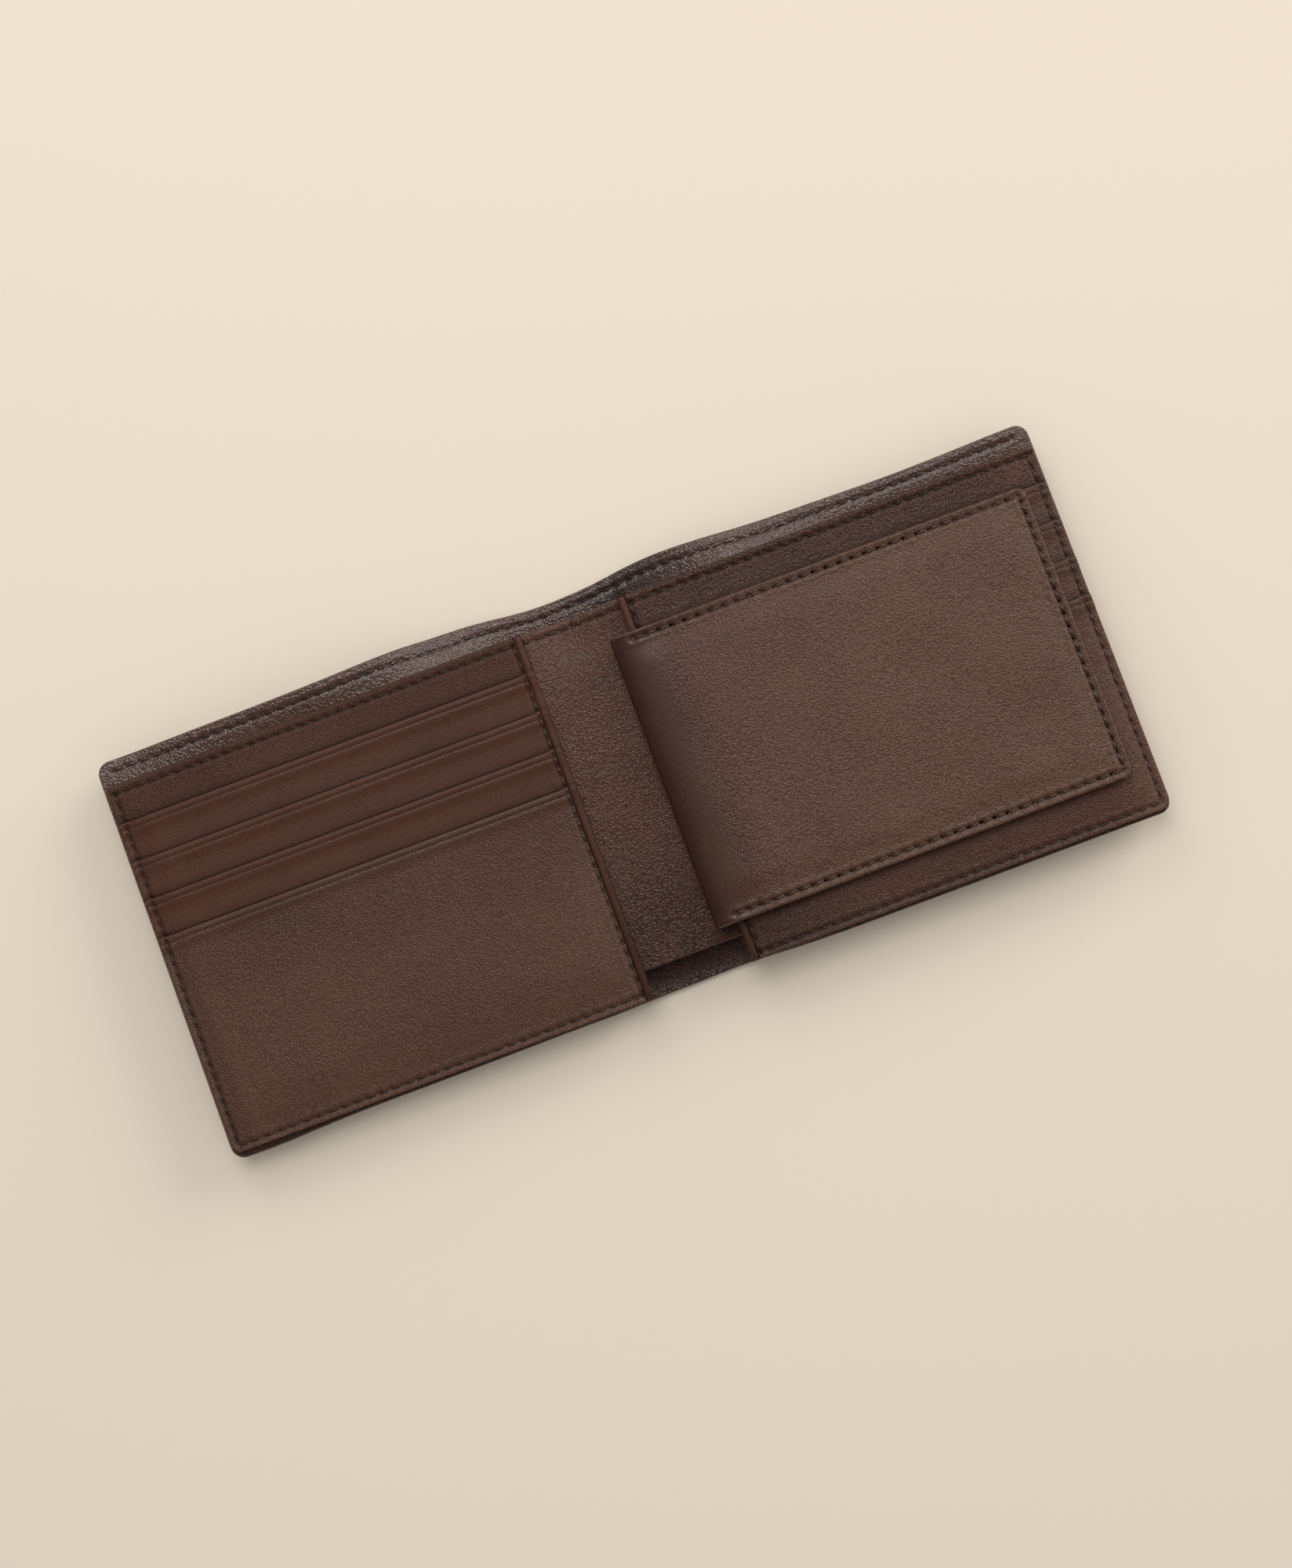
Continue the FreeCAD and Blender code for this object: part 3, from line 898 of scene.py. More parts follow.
@dataclass(frozen=True)
class Measures:
    """Places read from the CAD frame that several pieces share."""

    fold: float
    outer: float
    cover_top: float
    valley: float
    spine_face: float
    divider_top: float
    divider_face: float
    notch_top: float
    inner_foot: float
    inner_side: float
    panel_edge: float

    @classmethod
    def read(cls) -> "Measures":
        """Reads the frame once.

        Returns:
            The places.
        """
        spine, lining = box_mm("spine_divider"), box_mm("spine_lining")
        cover, divider = box_mm("right_cover"), box_mm("right_divider")
        return cls(
            fold=spine[1].x, outer=cover[1].x, cover_top=cover[1].y,
            valley=box_mm("right_lining")[1].z - lining[1].z, spine_face=lining[1].z,
            divider_top=divider[1].y, divider_face=divider[1].z,
            notch_top=spine[0].y, inner_foot=divider[0].y, inner_side=divider[1].x,
            panel_edge=box_mm("right_edge_binding")[0].x)


@dataclass
class CoverHalf:
    """Outer leather and lining of one half, up to the middle of the spine."""

    half: Half
    m: Measures
    finishes: Finishes
    level: float = 0.1
    climb: float = 34.0
    dip_run: float = 18.0
    dip: float = 0.6
    rise: float = 0.5
    seam_in: float = 2.6
    side_in: float = 2.5
    row_in: float = 1.0
    corner: float = 3.0
    lining_thickness: float = 0.78
    lining_depth: float = 0.8
    cover_thickness: float = 1.18
    top_waves: tuple[Wave, ...] = (Wave(0.85, -42, 17), Wave(0.75, 30, 17), Wave(-0.75, 80, 22),
                                   Wave(0.75, -24, 16), Wave(1.1, 17, 15))
    low_waves: tuple[Wave, ...] = (Wave(0.5, 14, 14), Wave(0.25, -30, 20), Wave(-0.8, -105, 15))
    droops: tuple[Wave, ...] = (Wave(2.8, -31, 9), Wave(2.1, 46, 17), Wave(1.4, -104, 9),
                                Wave(-1.3, -66, 15))
    wave: Relief = field(default_factory=lambda: ripple(1, 26, 0.10))
    folds: Relief = field(default_factory=lambda: ripple(2, 5, 0.16))

    def profile(self, z: float) -> Profile:
        """Line of a face that climbs out of the valley on a smooth curve.

        Args:
            z: Height of the face in the valley.

        Returns:
            The line, measured from the middle of the spine.
        """
        x = np.linspace(0, self.half.value * self.m.outer, 400)
        if self.half is Half.LEFT:
            x = x[::-1]
        t = np.clip((np.abs(x) - self.m.fold - self.level) / self.climb, 0, 1)
        line = Profile(list(zip(x, z + self.m.valley * t * t * (3 - 2 * t))))
        line.length -= line.measure_at_x(0.0)
        return line

    def swell(self, s: Array, y: Array) -> Array:
        """Soft waviness of the top and bottom edges, with the dip at the spine.

        Args:
            s: Measure of the points along the profile.
            y: Their y.

        Returns:
            How far the points move along y.
        """
        back = smoothstep(self.m.fold - 2, self.m.fold + self.dip_run, np.abs(s))
        upper = wavy(self.top_waves, s) - self.dip * (1 - back)
        lower = wavy(self.low_waves, s) + self.rise * (1 - back)
        share = np.clip(y / self.m.cover_top, -1, 1)
        return np.where(share > 0, upper * share ** 4, lower * share ** 4)

    def relief(self, s: Array, y: Array) -> Array:
        """Slow swell, small folds beside the spine and the droop of the top edge.

        Args:
            s: Measure of the points along the profile.
            y: Their y.

        Returns:
            The heights over the profile.
        """
        top = self.m.cover_top
        calm = smoothstep(0, 4, np.abs(s))
        slack = bump(np.abs(s) - self.m.fold, 9)
        edge = smoothstep(top - 8.0, top + 1.5, y)
        swell = self.wave(s, y) * calm + self.folds(s, y * 0.5) * slack * calm
        return swell - wavy(self.droops, s) * edge

    def tone(self, s: Array, y: Array) -> Array:
        """Paler rims, and painted shade in the valley at the spine and on the lining beside it.

        Args:
            s: Measure of the points along the profile.
            y: Their y.

        Returns:
            The tones.
        """
        top, outer = self.m.cover_top, self.outer_end()
        side = outer - s if self.half is Half.RIGHT else s - outer
        border = np.minimum(np.minimum(top - y, y + top), side)
        # Painted shade in the valley below the divider and on the lining right of the spine.
        slack = -0.22 * bump(np.abs(s), 14) * (y < 0) - 0.60 * bump(s - 14, 12) * (y > 0)
        return 0.25 * bump(border, 0.5) + slack

    def outer_end(self) -> float:
        """Measure of the outer edge along the lining's face."""
        return float(self.profile(self.m.spine_face).length[0 if self.half is Half.LEFT else -1])

    def _ply(self, name: str, face: float, thickness: float, marks: Sequence[float]) -> Ply:
        """One of the two sheets.

        Args:
            name: Name of the piece.
            face: Height of its upper face in the valley.
            thickness: How thick it is.
            marks: Places along y that need detail besides its edges.

        Returns:
            The sheet, without seams.
        """
        profile = self.profile(face)
        side = "l" if self.half is Half.LEFT else "r"
        outer = float(profile.length[0 if self.half is Half.LEFT else -1])
        top = self.m.cover_top
        return Ply(name, profile, spread(*sorted((0.0, outer)), 0.6, [outer]),
                   spread(-top, top, 1.2, [-top, top, *marks]), thickness, Rim.PAINTED,
                   f"{side}tb", self.corner, f"{side}t {side}b", top=self.relief,
                   bottom=lambda s, y: self.relief(s, y) - thickness, tone=self.tone,
                   sleek=lambda s, y: 0.5 * bump(s - 16, 9) * (y > 0), swell=self.swell)

    def build(self) -> None:
        """Makes both plies and their stitches."""
        word, sign = self.half.word, self.half.value
        leather, paint = self.finishes.get(SOFT_LEATHER), self.finishes.get(EDGE_PAINT)
        row_y = self.m.cover_top - self.seam_in
        lining = self._ply(f"{word}_lining_leather", self.m.spine_face, self.lining_thickness,
                           [row_y])
        reach = abs(lining.s_lines[0 if sign < 0 else -1]) - self.side_in - self.row_in
        lining.seams = [Seam(True, row_y, *sorted((0.0, sign * reach)))]
        cover = self._ply(f"{word}_cover_leather", self.m.spine_face - self.lining_depth,
                          self.cover_thickness, [])
        body = f"{word}_half"
        nodes = {lining.name: [f"{word}_lining"], cover.name: [f"{word}_cover"]}
        if self.half is Half.RIGHT:
            nodes[lining.name].append("spine_lining")
            nodes[cover.name].append("spine_cover")
        for ply in (lining, cover):
            piece = ply.build(leather, paint)
            self._bend(piece, body)
            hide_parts(*nodes[ply.name])
        row = StitchRow(f"{word}_cover_stitches")
        row.follow(lining, lining.seams[0])
        stitches = row.build(self.finishes.get(THREAD), self.finishes.get(HOLE_SHADE))
        self._bend(stitches, body)

    def _bend(self, piece: bpy.types.Object, body: str) -> None:
        """Bakes a piece's place into its mesh; the piece does not bend.

        Args:
            piece: The piece.
            body: The half that carries it; not used.
        """
        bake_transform(piece)


@dataclass
class DividerHalf:
    """Front wall of the bill compartment, one half up to the middle of the spine."""

    half: Half
    m: Measures
    finishes: Finishes
    hem: float = 2.0
    thickness: float = 0.78
    corner: float = 1.6
    row_in: float = 1.5
    notch_in: float = 1.6
    wave: Relief = field(default_factory=lambda: ripple(5, 30, 0.10))

    def notch(self, s: Array, y: Array) -> Array:
        """How far the foot rises between the two panels.

        Args:
            s: Measure of the points along the profile.
            y: Their y.

        Returns:
            How far the points move along y.
        """
        edge, top, foot = self.m.panel_edge + self.notch_in, self.m.divider_top, self.m.inner_foot
        inside = 1 - smoothstep(edge - 0.2, edge + 0.2, np.abs(s))
        share = np.clip((top - y) / (top - foot), 0, 1)
        return (self.m.notch_top - foot) * inside * share ** 3

    def relief(self, s: Array, y: Array) -> Array:
        """The sag over the spine and the droop of the top edge there.

        Args:
            s: Measure of the points along the profile.
            y: Their y.

        Returns:
            The heights over the profile.
        """
        top = self.m.divider_top
        middle = 1 - smoothstep(6, 14, np.abs(s))
        sag = -0.25 * middle * np.cos(np.clip(s / 14, -1, 1) * math.pi / 2)
        droop = -1.8 * bump(s + 2.5, 8) * smoothstep(top - 15, top + 1, y)
        return self.wave(s, y) * middle + sag + droop

    def tone(self, s: Array, y: Array) -> Array:
        """A paler line along the foot's edge, and painted shade above it that deepens towards the
        foot.
        """
        foot = y - self.m.inner_foot
        return 0.35 * bump(foot, 0.4) - 0.30 * (1 - smoothstep(4, 46, foot))

    def build(self) -> None:
        """Makes the sheet with its hem, its notch at the foot and its stitches."""
        word, sign = self.half.word, self.half.value
        side = "l" if sign < 0 else "r"
        low, high = sorted((0.0, sign * self.m.inner_side))
        top, foot = self.m.divider_top, self.m.inner_foot
        seam = Seam(True, top - self.hem, low + (self.row_in if sign < 0 else 0),
                    high - (0 if sign < 0 else self.row_in), pull=1.2)
        s_lines = spread(low, high, 0.6, [sign * (self.m.panel_edge + self.notch_in), low, high])
        y_lines = spread(foot, top, 1.3, [top, top - self.hem, foot])
        ply = Ply(f"{word}_divider_leather", Profile.flat(low, high, self.m.divider_face),
                  s_lines, y_lines, self.thickness, Rim.TURNED, f"{side}tb", self.corner,
                  f"{side}t", top=self.relief,
                  bottom=lambda s, y: self.relief(s, y) - self.thickness, swell=self.notch,
                  tone=self.tone, seams=[seam])
        piece = ply.build(self.finishes.get(DIVIDER_LEATHER))
        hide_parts(f"{word}_divider", *(["spine_divider"] if sign > 0 else []))
        row = StitchRow(f"{word}_divider_stitches", width=0.48, hole_width=0.60)
        row.follow(ply, seam)
        stitches = row.build(self.finishes.get(THREAD), self.finishes.get(HOLE_SHADE))
        for item in (piece, stitches):
            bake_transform(item)


@dataclass
class CardPanel:
    """Backing, four stepped pockets, turned free edge and seams of one half.

    The backing is slot 0 and the pockets are slots 1 to 4, the lowest last.
    """

    half: Half
    m: Measures
    finishes: Finishes
    last: int = 4
    leather: float = 0.7
    tail: float = 0.3
    overlap: float = 2.0
    ramp: float = 2.4
    crease: float = 1.5
    sink: float = 0.34
    hem: float = 2.0
    corner: float = 2.4
    inner_row: float = 2.3
    outer_row: float = 1.7
    foot_row: float = 1.5
    mouth_row: float = 0.9
    mouth_clear: float = 0.4
    corner_clear: float = 0.9
    hem_clear: float = 0.8
    nose: float = 0.35
    binding_reach: float = 1.2
    binding_skin: float = 0.18
    binding_thickness: float = 1.6
    crown: dict[Half, float] = field(default_factory=lambda: {Half.LEFT: 0.45, Half.RIGHT: 0.10})
    top_rise: dict[Half, float] = field(default_factory=lambda: {Half.LEFT: 0.15,
                                                                 Half.RIGHT: 0.45})
    backing_tone: dict[Half, float] = field(default_factory=lambda: {Half.LEFT: 0.08,
                                                                     Half.RIGHT: 0.32})

    def node(self, slot: int) -> str:
        """CAD node of a slot."""
        word = self.half.word
        return f"{word}_card_pocket_{slot}" if slot else f"{word}_card_backing"

    def next_mouth(self, slot: int) -> float:
        """Upper edge of the pocket that lies on a slot, far below for the last one."""
        return box_mm(self.node(slot + 1))[1].y if slot < self.last else -FAR_AWAY

    def grid(self, slot: int) -> float:
        """Distance between the lines of a slot's mesh along its width."""
        return 1.3 if 0 < slot < self.last else 0.6

    def finish(self, slot: int) -> LeatherFinish:
        """The leather of a slot.

        Args:
            slot: Which sheet.

        Returns:
            The finish of its faces.
        """
        if slot == 0:
            return HEM_LEATHER if self.half is Half.LEFT else BACKING_LEATHER
        return STRIP_LEATHER if self.half is Half.LEFT and slot < self.last else LEATHER

    def settle(self, s: Array, y: Array) -> Array:
        """How the whole panel sinks towards its sewn sides and rises in the middle.

        Args:
            s: Measure of the points along the profile.
            y: Their y.

        Returns:
            The change of height.
        """
        side = self.m.inner_side - np.abs(s)
        foot = y - self.m.inner_foot
        top = self.m.divider_top - y
        sunk = self.sink * np.maximum(1 - smoothstep(0, 7, side), 1 - smoothstep(0, 9, foot))
        rise = self.top_rise[self.half] * smoothstep(2, 8, top) * smoothstep(0, 8, side)
        return rise * smoothstep(0, 8, np.abs(s) - self.m.panel_edge) - sunk

    def strip_height(self, slot: int) -> Relief:
        """Shape of a slot's strip: the ramp to its mouth, the nose and its crease.

        Args:
            slot: Which sheet.

        Returns:
            A function that gives the height of the face over its lowest point.
        """
        mouth = box_mm(self.node(slot))[1].y
        end = self.next_mouth(slot) - self.overlap
        crease = mouth - self.crease

        def height(s: Array, y: Array) -> Array:
            """Height of the face; behind the next pocket only the thin tail is left.

            Args:
                s: Measure of the points along the profile.
                y: Their y.

            Returns:
                The heights.
            """
            strip = 0 * y + self.leather
            if slot:
                foot = mouth - self.overlap
                raised = (self.leather - self.tail) * smoothstep(foot - self.ramp, foot + 0.2, y)
                strip = raised + self.leather + 0.06 * smoothstep(crease, crease + 0.6, y)
                strip = strip - 0.11 * bump(y - crease, 0.28)
            return np.where(y < end, self.tail, strip)

        return height

    def tone(self, slot: int, low: Vector, high: Vector) -> Relief:
        """Tone of a slot: painted highlights on the noses, painted shade in the creases and along
        the next mouth, painted light on the right panel and the left front pocket, and a paler line
        along a front pocket's foot.

        Args:
            slot: Which sheet.
            low: Its lowest corner.
            high: Its highest corner.

        Returns:
            A function that gives the tone at points.
        """
        covered = slot < self.last
        mouth = self.next_mouth(slot)

        def tone(s: Array, y: Array) -> Array:
            """The tone at points.

            Args:
                s: Measure of the points along the profile.
                y: Their y.

            Returns:
                The tones.
            """
            side = self.m.inner_side - np.abs(s)
            # Both panels are paler at the sewn outer side.
            tone_and_painted_light = 0.14 * (1 - smoothstep(0.9, 1.9, side)) + 0.12 * bump(side - 5, 7)
            if self.half is Half.LEFT and not covered:
                # Painted light: the front pocket is painted paler away from its sewn side and its
                # mouth, where its swell faces the light.
                tone_and_painted_light = tone_and_painted_light + 0.32 * smoothstep(1.5, 9, side) * smoothstep(2, 24, high.y - y)
            if self.half is Half.RIGHT:
                # A painted highlight near the outer side towards the foot, and painted shade from
                # the case by the free edge of the front pocket.
                tone_and_painted_light = tone_and_painted_light + 0.36 * bump(side - 3, 4) * (1 - smoothstep(-20, 25, y))
                near = np.abs(s) - self.m.panel_edge
                tone_and_painted_light = tone_and_painted_light - 0.34 * (1 - smoothstep(4, 34, near)) * (not covered)
            if slot:
                # A turned mouth gets a painted highlight on its nose and painted shade in the
                # crease below it.
                tone_and_painted_light = tone_and_painted_light + 0.30 * bump(y - high.y, 0.35)
                tone_and_painted_light = tone_and_painted_light - 0.40 * bump(y - (high.y - self.crease), 0.25)
            else:
                tone_and_painted_light = tone_and_painted_light - self.backing_tone[self.half]
            if covered:
                # A thin painted shadow line and a wider painted shade lie along the next mouth.
                return tone_and_painted_light - 0.9 * bump(y - (mouth + 0.1), 0.35) - 0.30 * bump(y - mouth, 1.6)
            return tone_and_painted_light + 0.25 * bump(y - low.y, 0.5)

        return tone

    def pocket(self, slot: int) -> Ply:
        """The sheet of one slot.

        Args:
            slot: Which sheet.

        Returns:
            The sheet, not yet sewn.
        """
        low, high = box_mm(self.node(slot))
        face = self.strip_height(slot)
        wave = ripple(20 + slot + 7 * self.half.value, 40, 0.05)
        mouth = self.next_mouth(slot)
        crown = self.crown[self.half] if slot == self.last else 0.0

        def top(s: Array, y: Array) -> Array:
            """Height of the upper face.

            Args:
                s: Measure of the points along the profile.
                y: Their y.

            Returns:
                The heights.
            """
            side = np.minimum(self.m.inner_side - np.abs(s), np.abs(s) - self.m.panel_edge)
            middle = np.minimum(side, np.minimum(y - low.y, high.y - y))
            return face(s, y) + wave(s, y) + self.settle(s, y) + crown * smoothstep(1, 14, middle)

        def bottom(s: Array, y: Array) -> Array:
            """Height of the lower face, flat under the hidden tail."""
            hidden = wave(s, y) + self.settle(s, y)
            return np.where(y >= mouth - self.overlap, top(s, y) - self.leather - 0.05, hidden)

        def sleek(s: Array, y: Array) -> Array:
            """How much the grain is pressed out of the noses.

            Args:
                s: Measure of the points along the profile.
                y: Their y.

            Returns:
                The shares, from 0 to 1.
            """
            own = high.y if slot else FAR_AWAY
            near = np.maximum(bump(y - own, 3.0), bump(y - mouth, 2.5))
            return 0.8 * near * smoothstep(2, 12, self.m.inner_side - np.abs(s))

        side = "l" if self.half is Half.LEFT else "r"
        return Ply(f"{self.node(slot)}_leather", Profile.flat(low.x, high.x, low.z),
                   spread(low.x, high.x, self.grid(slot)), spread(low.y, high.y, 0.9),
                   self.leather, Rim.TURNED, "lrtb", self.corner, f"{side}b", top=top,
                   bottom=bottom, tone=self.tone(slot, low, high), sleek=sleek)

    def sew(self, slot: int, ply: Ply) -> None:
        """Adds a slot's seams, and the grid lines that they and its creases need.

        Args:
            slot: Which sheet.
            ply: The sheet.
        """
        sign = self.half.value
        inner = sign * (self.m.panel_edge + self.inner_row)
        outer = sign * (self.m.inner_side - self.outer_row)
        x0, x1, y0, y1 = ply.s_lines[0], ply.s_lines[-1], ply.y_lines[0], ply.y_lines[-1]
        free_edge = sign * (self.m.panel_edge + self.binding_reach)
        top = y1 - (self.hem if slot == 0 else self.mouth_row)
        marks = [y1, y1 - self.crease]
        if slot < self.last:
            mouth = self.next_mouth(slot)
            marks += [mouth, mouth - self.overlap]
            ply.seams = [Seam(False, x, mouth + self.mouth_clear, top) for x in (inner, outer)]
        else:
            foot = y0 + self.foot_row
            marks += [foot, y0]
            ply.seams = [Seam(False, inner, foot, top),
                         Seam(False, outer, foot + self.corner_clear, top),
                         Seam(True, foot, *sorted((outer, free_edge)))]
        if slot == 0:
            marks.append(y1 - self.hem)
            ply.seams.append(Seam(True, y1 - self.hem, x0 + self.hem_clear, x1 - self.hem_clear))
        ply.s_lines = spread(x0, x1, self.grid(slot), [x0, x1, inner, outer])
        ply.y_lines = spread(y0, y1, 0.75, marks)

    def binding(self) -> Ply:
        """The turned free edge, stepped with the strips.

        Returns:
            The narrow sheet.
        """
        node = f"{self.half.word}_edge_binding"
        low, high = box_mm(node)
        slots = range(self.last + 1)
        strips = [(*box_mm(self.node(slot)), self.strip_height(slot)) for slot in slots]
        base, peak = strips[0][0].z, strips[0][1].y

        def top(s: Array, y: Array) -> Array:
            """Height of the edge as it climbs over each strip.

            Args:
                s: Measure of the points along the profile.
                y: Their y.

            Returns:
                The heights.
            """
            height = np.zeros(s.shape)
            for lowest, highest, face in strips:
                mouth = highest.y
                climb = smoothstep(mouth + self.nose, mouth - 0.25, y) if mouth < peak else 1
                over = face(s, np.minimum(y, mouth)) + lowest.z - base + self.binding_skin
                height = np.where(y <= mouth + self.nose, height + (over - height) * climb, height)
                if mouth < peak:
                    height = height - 0.16 * bump(y - mouth - self.nose, 0.3)
            return height

        return Ply(f"{node}_leather", Profile.flat(low.x, high.x, base),
                   spread(low.x, high.x, 0.2), spread(low.y, high.y, 1.0, [s[1].y for s in strips]),
                   self.binding_thickness, Rim.TURNED, "lrtb", top=top,
                   bottom=lambda s, y: 0 * s,
                   # Painted shade: the turned edge is painted darker towards the foot.
                   tone=lambda s, y: -0.46 + 0.44 * smoothstep(-40, 12, y),
                   sleek=lambda s, y: 0.8 + 0 * s)

    def build(self) -> None:
        """Makes the panel's pieces and the stitches through them."""
        body = f"{self.half.word}_half"
        row = StitchRow(f"{self.half.word}_panel_stitches")
        for slot in range(self.last + 1):
            ply = self.pocket(slot)
            self.sew(slot, ply)
            piece = ply.build(self.finishes.get(self.finish(slot)))
            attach(piece, body)
            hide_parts(self.node(slot))
            for seam in ply.seams:
                row.follow(ply, seam)
        piece = self.binding().build(self.finishes.get(STRIP_LEATHER))
        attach(piece, body)
        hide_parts(f"{self.half.word}_edge_binding")
        stitches = row.build(self.finishes.get(THREAD), self.finishes.get(HOLE_SHADE))
        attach(stitches, body)


@dataclass
class CardCase:
    """The removable case: a folded leather cover with a window leaf inside."""

    m: Measures
    finishes: Finishes
    roll: float = 9.5
    thickness: float = 1.0
    back_thickness: float = 0.7
    corner: float = 2.2
    stitch_in: float = 1.8
    row_start: float = 6.0
    side_row_clear: float = 1.3
    pull: float = 1.7
    pillow: float = 0.55
    rim_line: float = 0.85
    wave: Relief = field(default_factory=lambda: ripple(40, 34, 0.16))
    soft: Relief = field(default_factory=lambda: ripple(41, 15, 0.05))

    def upper_profile(self) -> Profile:
        """Line of the outer face, from the middle of the fold to the free edge.

        Returns:
            The line, measured from the fold.
        """
        low, high = box_mm("case_spine")
        middle = (low.z + high.z) / 2
        rise = high.z - middle
        bend = [(low.x + self.roll * (1 - math.cos(a)), middle + rise * math.sin(a))
                for a in np.linspace(0, math.pi / 2, 60)]
        far = box_mm("case_front_leather")[1].x
        return Profile(bend + [(x, high.z) for x in np.linspace(bend[-1][0], far, 60)[1:]])

    def lower_profile(self) -> Profile:
        """Line of the back leaf's outer face, from its free edge round to the fold.

        Returns:
            The line, measured from the free edge.
        """
        low, high = box_mm("case_spine")
        middle = (low.z + high.z) / 2
        rise = high.z - middle
        far = box_mm("case_back_leaf")[1].x
        flat = [(x, low.z) for x in np.linspace(far, low.x + rise, 60)[:-1]]
        return Profile(flat + [(low.x + rise * (1 - math.cos(a)), middle - rise * math.sin(a))
                               for a in np.linspace(math.pi / 2, 0, 40)])

    def front(self) -> Ply:
        """The padded outer leather with its three rows of stitches.

        Returns:
            The sheet.
        """
        low, high = box_mm("case_front_leather")
        profile = self.upper_profile()
        end = float(profile.length[-1])
        d = self.stitch_in
        clear = self.side_row_clear
        seams = [Seam(True, high.y - d, self.row_start, end - d, pull=self.pull),
                 Seam(True, low.y + d, self.row_start, end - d, pull=self.pull),
                 Seam(False, end - d, low.y + d + clear, high.y - d - clear, pull=self.pull)]

        def border(s: Array, y: Array) -> Array:
            """Distance of points from the three sewn edges."""
            return np.minimum(np.minimum(high.y - y, y - low.y), end - s)

        def relief(s: Array, y: Array) -> Array:
            """The pillow between the seams, the line along the rim and a slow swell.

            Args:
                s: Measure of the points along the profile.
                y: Their y.

            Returns:
                The heights over the profile.
            """
            gap = border(s, y)
            pillow = self.pillow * smoothstep(1.8, 9.0, gap) - self.pillow
            groove = 0.10 * bump(gap - self.rim_line, 0.22)
            swell = (self.wave(s, y) + self.soft(s, y)) * smoothstep(0, 5, gap)
            return (swell + pillow - groove) * smoothstep(2, 12, s)

        def tone(s: Array, y: Array) -> Array:
            """Painted shade over the fold, painted highlights on the rims, a painted shadow line in
            the groove inside them and a painted highlight along the bottom lip.

            Args:
                s: Measure of the points along the profile.
                y: Their y.

            Returns:
                The tones.
            """
            gap = border(s, y)
            # Painted shade: the fold turns away from the light.
            roll = -0.48 * (1 - smoothstep(5.0, 20.0, s)) - 0.40 * bump(s, 3.0)
            roll = roll - 0.10 * (1 - smoothstep(10.0, 70.0, s))
            # Painted highlight on the rounded rims and painted shade in the groove inside them.
            edge = 0.20 * bump(gap, 0.45) - 0.30 * bump(gap - self.rim_line, 0.22)
            # A painted highlight along the bottom lip.
            return roll + edge + 0.15 * bump(y - low.y - 1.0, 0.9)

        return Ply("case_front_cover", profile, spread(0, end, 0.6, [end, end - d]),
                   spread(low.y, high.y, 0.6, [low.y, low.y + d, high.y - d, high.y]),
                   self.thickness, Rim.TURNED, "rtb", self.corner, "rt rb", top=relief,
                   bottom=lambda s, y: 0 * s - self.thickness, tone=tone,
                   sleek=lambda s, y: 0.9 * (1 - smoothstep(6.0, 15.0, s)), seams=seams)

    def back(self) -> Ply:
        """The plain leaf that sits in the slip pocket, with its half of the fold.

        Returns:
            The sheet.
        """
        low, high = box_mm("case_front_leather")
        profile = self.lower_profile()
        return Ply("case_back_cover", profile, spread(0, float(profile.length[-1]), 1.2, [0]),
                   spread(low.y, high.y, 1.2, [low.y, high.y]), self.back_thickness, Rim.TURNED,
                   "ltb", self.corner, "lt lb", top=lambda s, y: 0 * s,
                   tone=lambda s, y: -0.4 + 0 * s)

    def _bend(self, piece: bpy.types.Object, body: str, level: float) -> None:
        """Bakes a piece's place into its mesh; the piece does not bend.

        Args:
            piece: The piece.
            body: The leaf that carries it; not used.
            level: Height of the leaf in millimetres; not used.
        """
        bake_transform(piece)

    def build(self) -> None:
        """Makes the two leaves of outer leather and the stitches."""
        leather = self.finishes.get(CASE_LEATHER)
        under, over = box_mm("case_front_leather")
        front = self.front()
        piece = front.build(leather)
        self._bend(piece, "case_front", over.z)
        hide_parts("case_front_leather", "case_spine")
        row = StitchRow("case_stitches", length=2.2, width=0.60, slant=0.20,
                        hole_length=1.50, hole_width=0.95)
        for seam in front.seams:
            row.follow(front, seam)
        stitches = row.build(self.finishes.get(CASE_THREAD), self.finishes.get(HOLE_SHADE))
        self._bend(stitches, "case_front", over.z)
        piece = self.back().build(leather)
        self._bend(piece, "case_back", under.z)
        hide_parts("case_back_leaf")


class Wallet:
    """The whole object."""

    def __init__(self) -> None:
        """Reads the frame and starts with no finish made."""
        self.finishes = Finishes()
        self.measures = Measures.read()

    def dress_nodes(self) -> None:
        """Gives every CAD node that stays visible its own finish."""
        for name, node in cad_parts.items():
            finish = INNER_LEATHER if name.startswith("case_") else LEATHER
            if name == "case_window_film":
                finish = FILM
            node.data.materials.clear()
            node.data.materials.append(self.finishes.get(finish))

    def build(self) -> None:
        """Makes every piece."""
        self.dress_nodes()
        for half in Half:
            CoverHalf(half, self.measures, self.finishes).build()
            DividerHalf(half, self.measures, self.finishes).build()
            CardPanel(half, self.measures, self.finishes).build()
        CardCase(self.measures, self.finishes).build()


# ---------------------------------------------------------------- studio


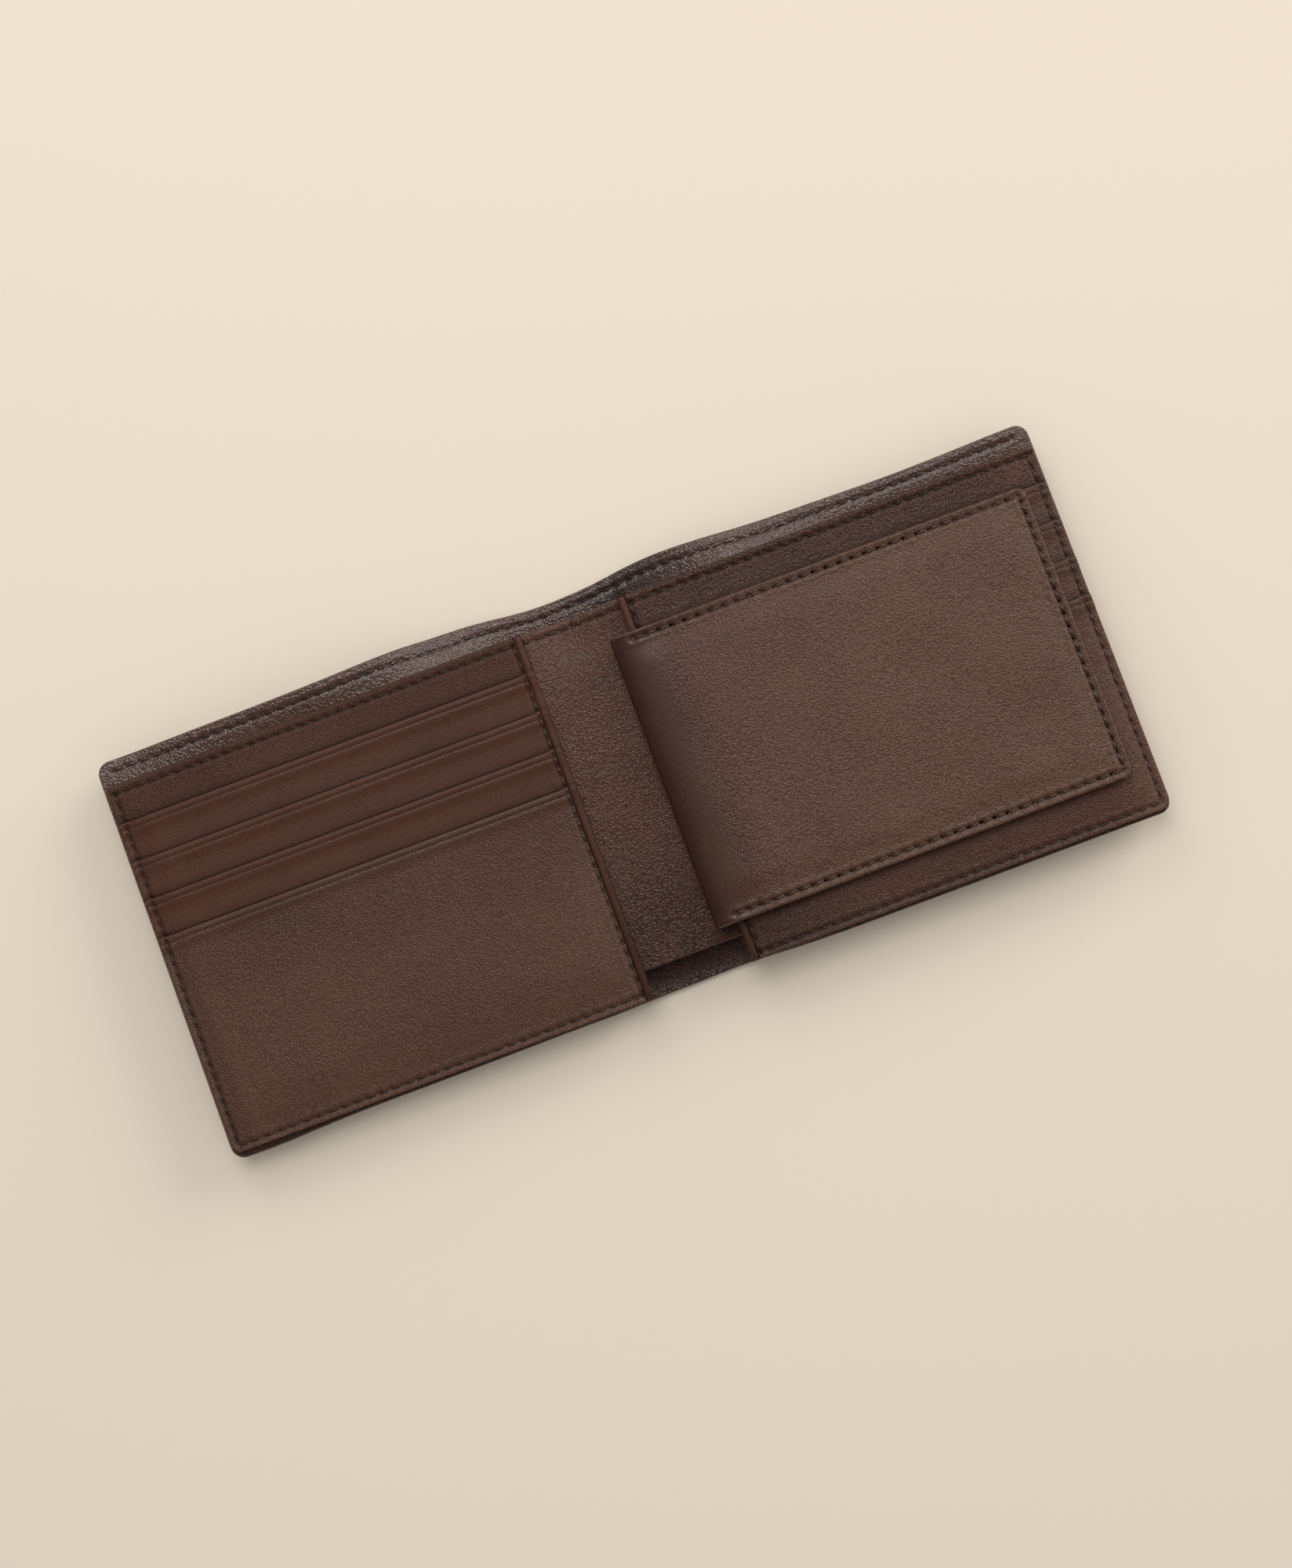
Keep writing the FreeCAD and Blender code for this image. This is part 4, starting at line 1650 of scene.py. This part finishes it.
@dataclass(frozen=True)
class Lamp:
    """A round area light that points at the wallet; places and sizes are in metres."""

    name: str
    place: tuple[float, float, float]
    size: float
    power: float
    colour: Colour
    matte: bool = True
    shine: bool = True
    beam: float = 180.0

    def hang(self) -> None:
        """Puts the light in the scene."""
        data = bpy.data.lights.new(self.name, "AREA")
        data.shape = "DISK"
        data.size, data.energy, data.color = self.size, self.power, self.colour
        data.spread = math.radians(self.beam)
        lamp = bpy.data.objects.new(self.name, data)
        lamp.location = self.place
        lamp.rotation_euler = (-Vector(self.place)).to_track_quat("-Z", "Y").to_euler()
        lamp.visible_diffuse, lamp.visible_glossy = self.matte, self.shine
        bpy.context.scene.collection.objects.link(lamp)
        lamp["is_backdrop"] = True


@dataclass
class Studio:
    """Floor, light and camera; lengths of the camera are in millimetres, angles in degrees."""

    floor_colour: Colour = (0.83, 0.755, 0.645)
    floor_reach: float = 6.0
    sky_colour: Colour = (1.0, 0.965, 0.93)
    fill: float = 0.47
    glossy_horizon: float = 0.42
    glossy_zenith: float = 0.03
    zenith_from: float = 0.8
    lens: float = 61.56
    distance: float = 611.3
    offset: tuple[float, float] = (-3.06, -1.36)
    pitch: float = -4.18
    yaw: float = 0.44
    roll: float = 20.37
    lamps: tuple[Lamp, ...] = (
        Lamp("key", (1.1, 0.49, 0.54), 0.9, 5.45, (1.0, 0.95, 0.90), beam=150.0),
        Lamp("top", (-0.05, 0.36, 1.20), 0.7, 4.2, (1.0, 0.97, 0.94), shine=False),
        Lamp("wash", (-0.08, 0.55, 0.50), 0.4, 0.8, (1.0, 0.97, 0.94), shine=False),
        Lamp("sheen", (0.12, 0.86, 1.20), 0.62, 11.0, (1.0, 0.98, 0.95), matte=False))

    def build(self) -> None:
        """Sets the whole studio."""
        self._floor()
        self._sky()
        for lamp in self.lamps:
            lamp.hang()
        bpy.context.scene.view_settings.view_transform = "Standard"
        self._camera()

    def _floor(self) -> None:
        """Lays the sheet of paper that the wallet lies on."""
        mesh = bpy.data.meshes.new("floor")
        far = self.floor_reach
        mesh.from_pydata([(-far, -far, 0), (far, -far, 0), (far, far, 0), (-far, far, 0)],
                         [], [(0, 1, 2, 3)])
        floor = bpy.data.objects.new("floor", mesh)
        bpy.context.scene.collection.objects.link(floor)
        material = bpy.data.materials.new("paper")
        material.use_nodes = True
        shader = material.node_tree.nodes["Principled BSDF"]
        shader.inputs["Base Color"].default_value = (*self.floor_colour, 1)
        shader.inputs["Roughness"].default_value = 0.9
        shader.inputs["Specular IOR Level"].default_value = 0.1
        mesh.materials.append(material)
        floor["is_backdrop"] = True

    def _sky(self) -> None:
        """Fills the room with soft light.

        Shiny leather sees a sky that darkens towards the zenith, and the camera sees the
        floor's colour past the floor's edge.
        """
        world = bpy.data.worlds.new("studio")
        world.use_nodes = True
        tree = world.node_tree
        back = tree.nodes["Background"].inputs
        rays = add_node(tree, "LightPath", {})
        way = add_node(tree, "TexCoord", {})["Generated"]
        up = add_node(tree, "SeparateXYZ", {"Vector": way})["Z"]
        sky = remap(tree, up, 0.0, self.zenith_from, self.glossy_horizon, self.glossy_zenith)
        level = add_node(tree, "Mix", {"Factor": rays["Is Glossy Ray"], "A": self.fill, "B": sky})
        floor_seen = (a * b for a, b in zip(self.floor_colour, self.sky_colour))
        haze = add_node(tree, "Mix", {"Factor": rays["Is Camera Ray"],
                                      "A": (*self.sky_colour, 1), "B": (*floor_seen, 1)},
                        data_type="RGBA")
        tree.links.new(level["Result"], back["Strength"])
        tree.links.new(haze["Result"], back["Color"])
        bpy.context.scene.world = world

    def _camera(self) -> None:
        """Places the camera above the wallet, turned a little to each side."""
        turn = (Matrix.Rotation(math.radians(self.roll), 3, "Z")
                @ Matrix.Rotation(math.radians(self.yaw), 3, "Y")
                @ Matrix.Rotation(math.radians(self.pitch), 3, "X"))
        inverse = turn.transposed()
        shift = Vector((self.offset[0], self.offset[1], -self.distance)) * MM
        data = bpy.data.cameras.new("camera")
        data.lens, data.clip_start, data.clip_end = self.lens, 0.01, 50
        camera = bpy.data.objects.new("camera", data)
        camera.matrix_world = Matrix.Translation(-(inverse @ shift)) @ inverse.to_4x4()
        bpy.context.scene.collection.objects.link(camera)
        bpy.context.scene.camera = camera


def write_size(key: str, sizes: dict[str, list[list[float]]]) -> None:
    """Keeps the corners of what is shown.

    Args:
        key: What they are kept under.
        sizes: All corners so far.
    """
    low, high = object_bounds()
    sizes[key] = [list(low), list(high)]


def main() -> None:
    logging.basicConfig(level=logging.INFO)
    sizes: dict[str, list[list[float]]] = {}
    write_size("frame", sizes)
    Wallet().build()
    Studio().build()
    write_size("shown", sizes)


if __name__ == "__main__":
    main()
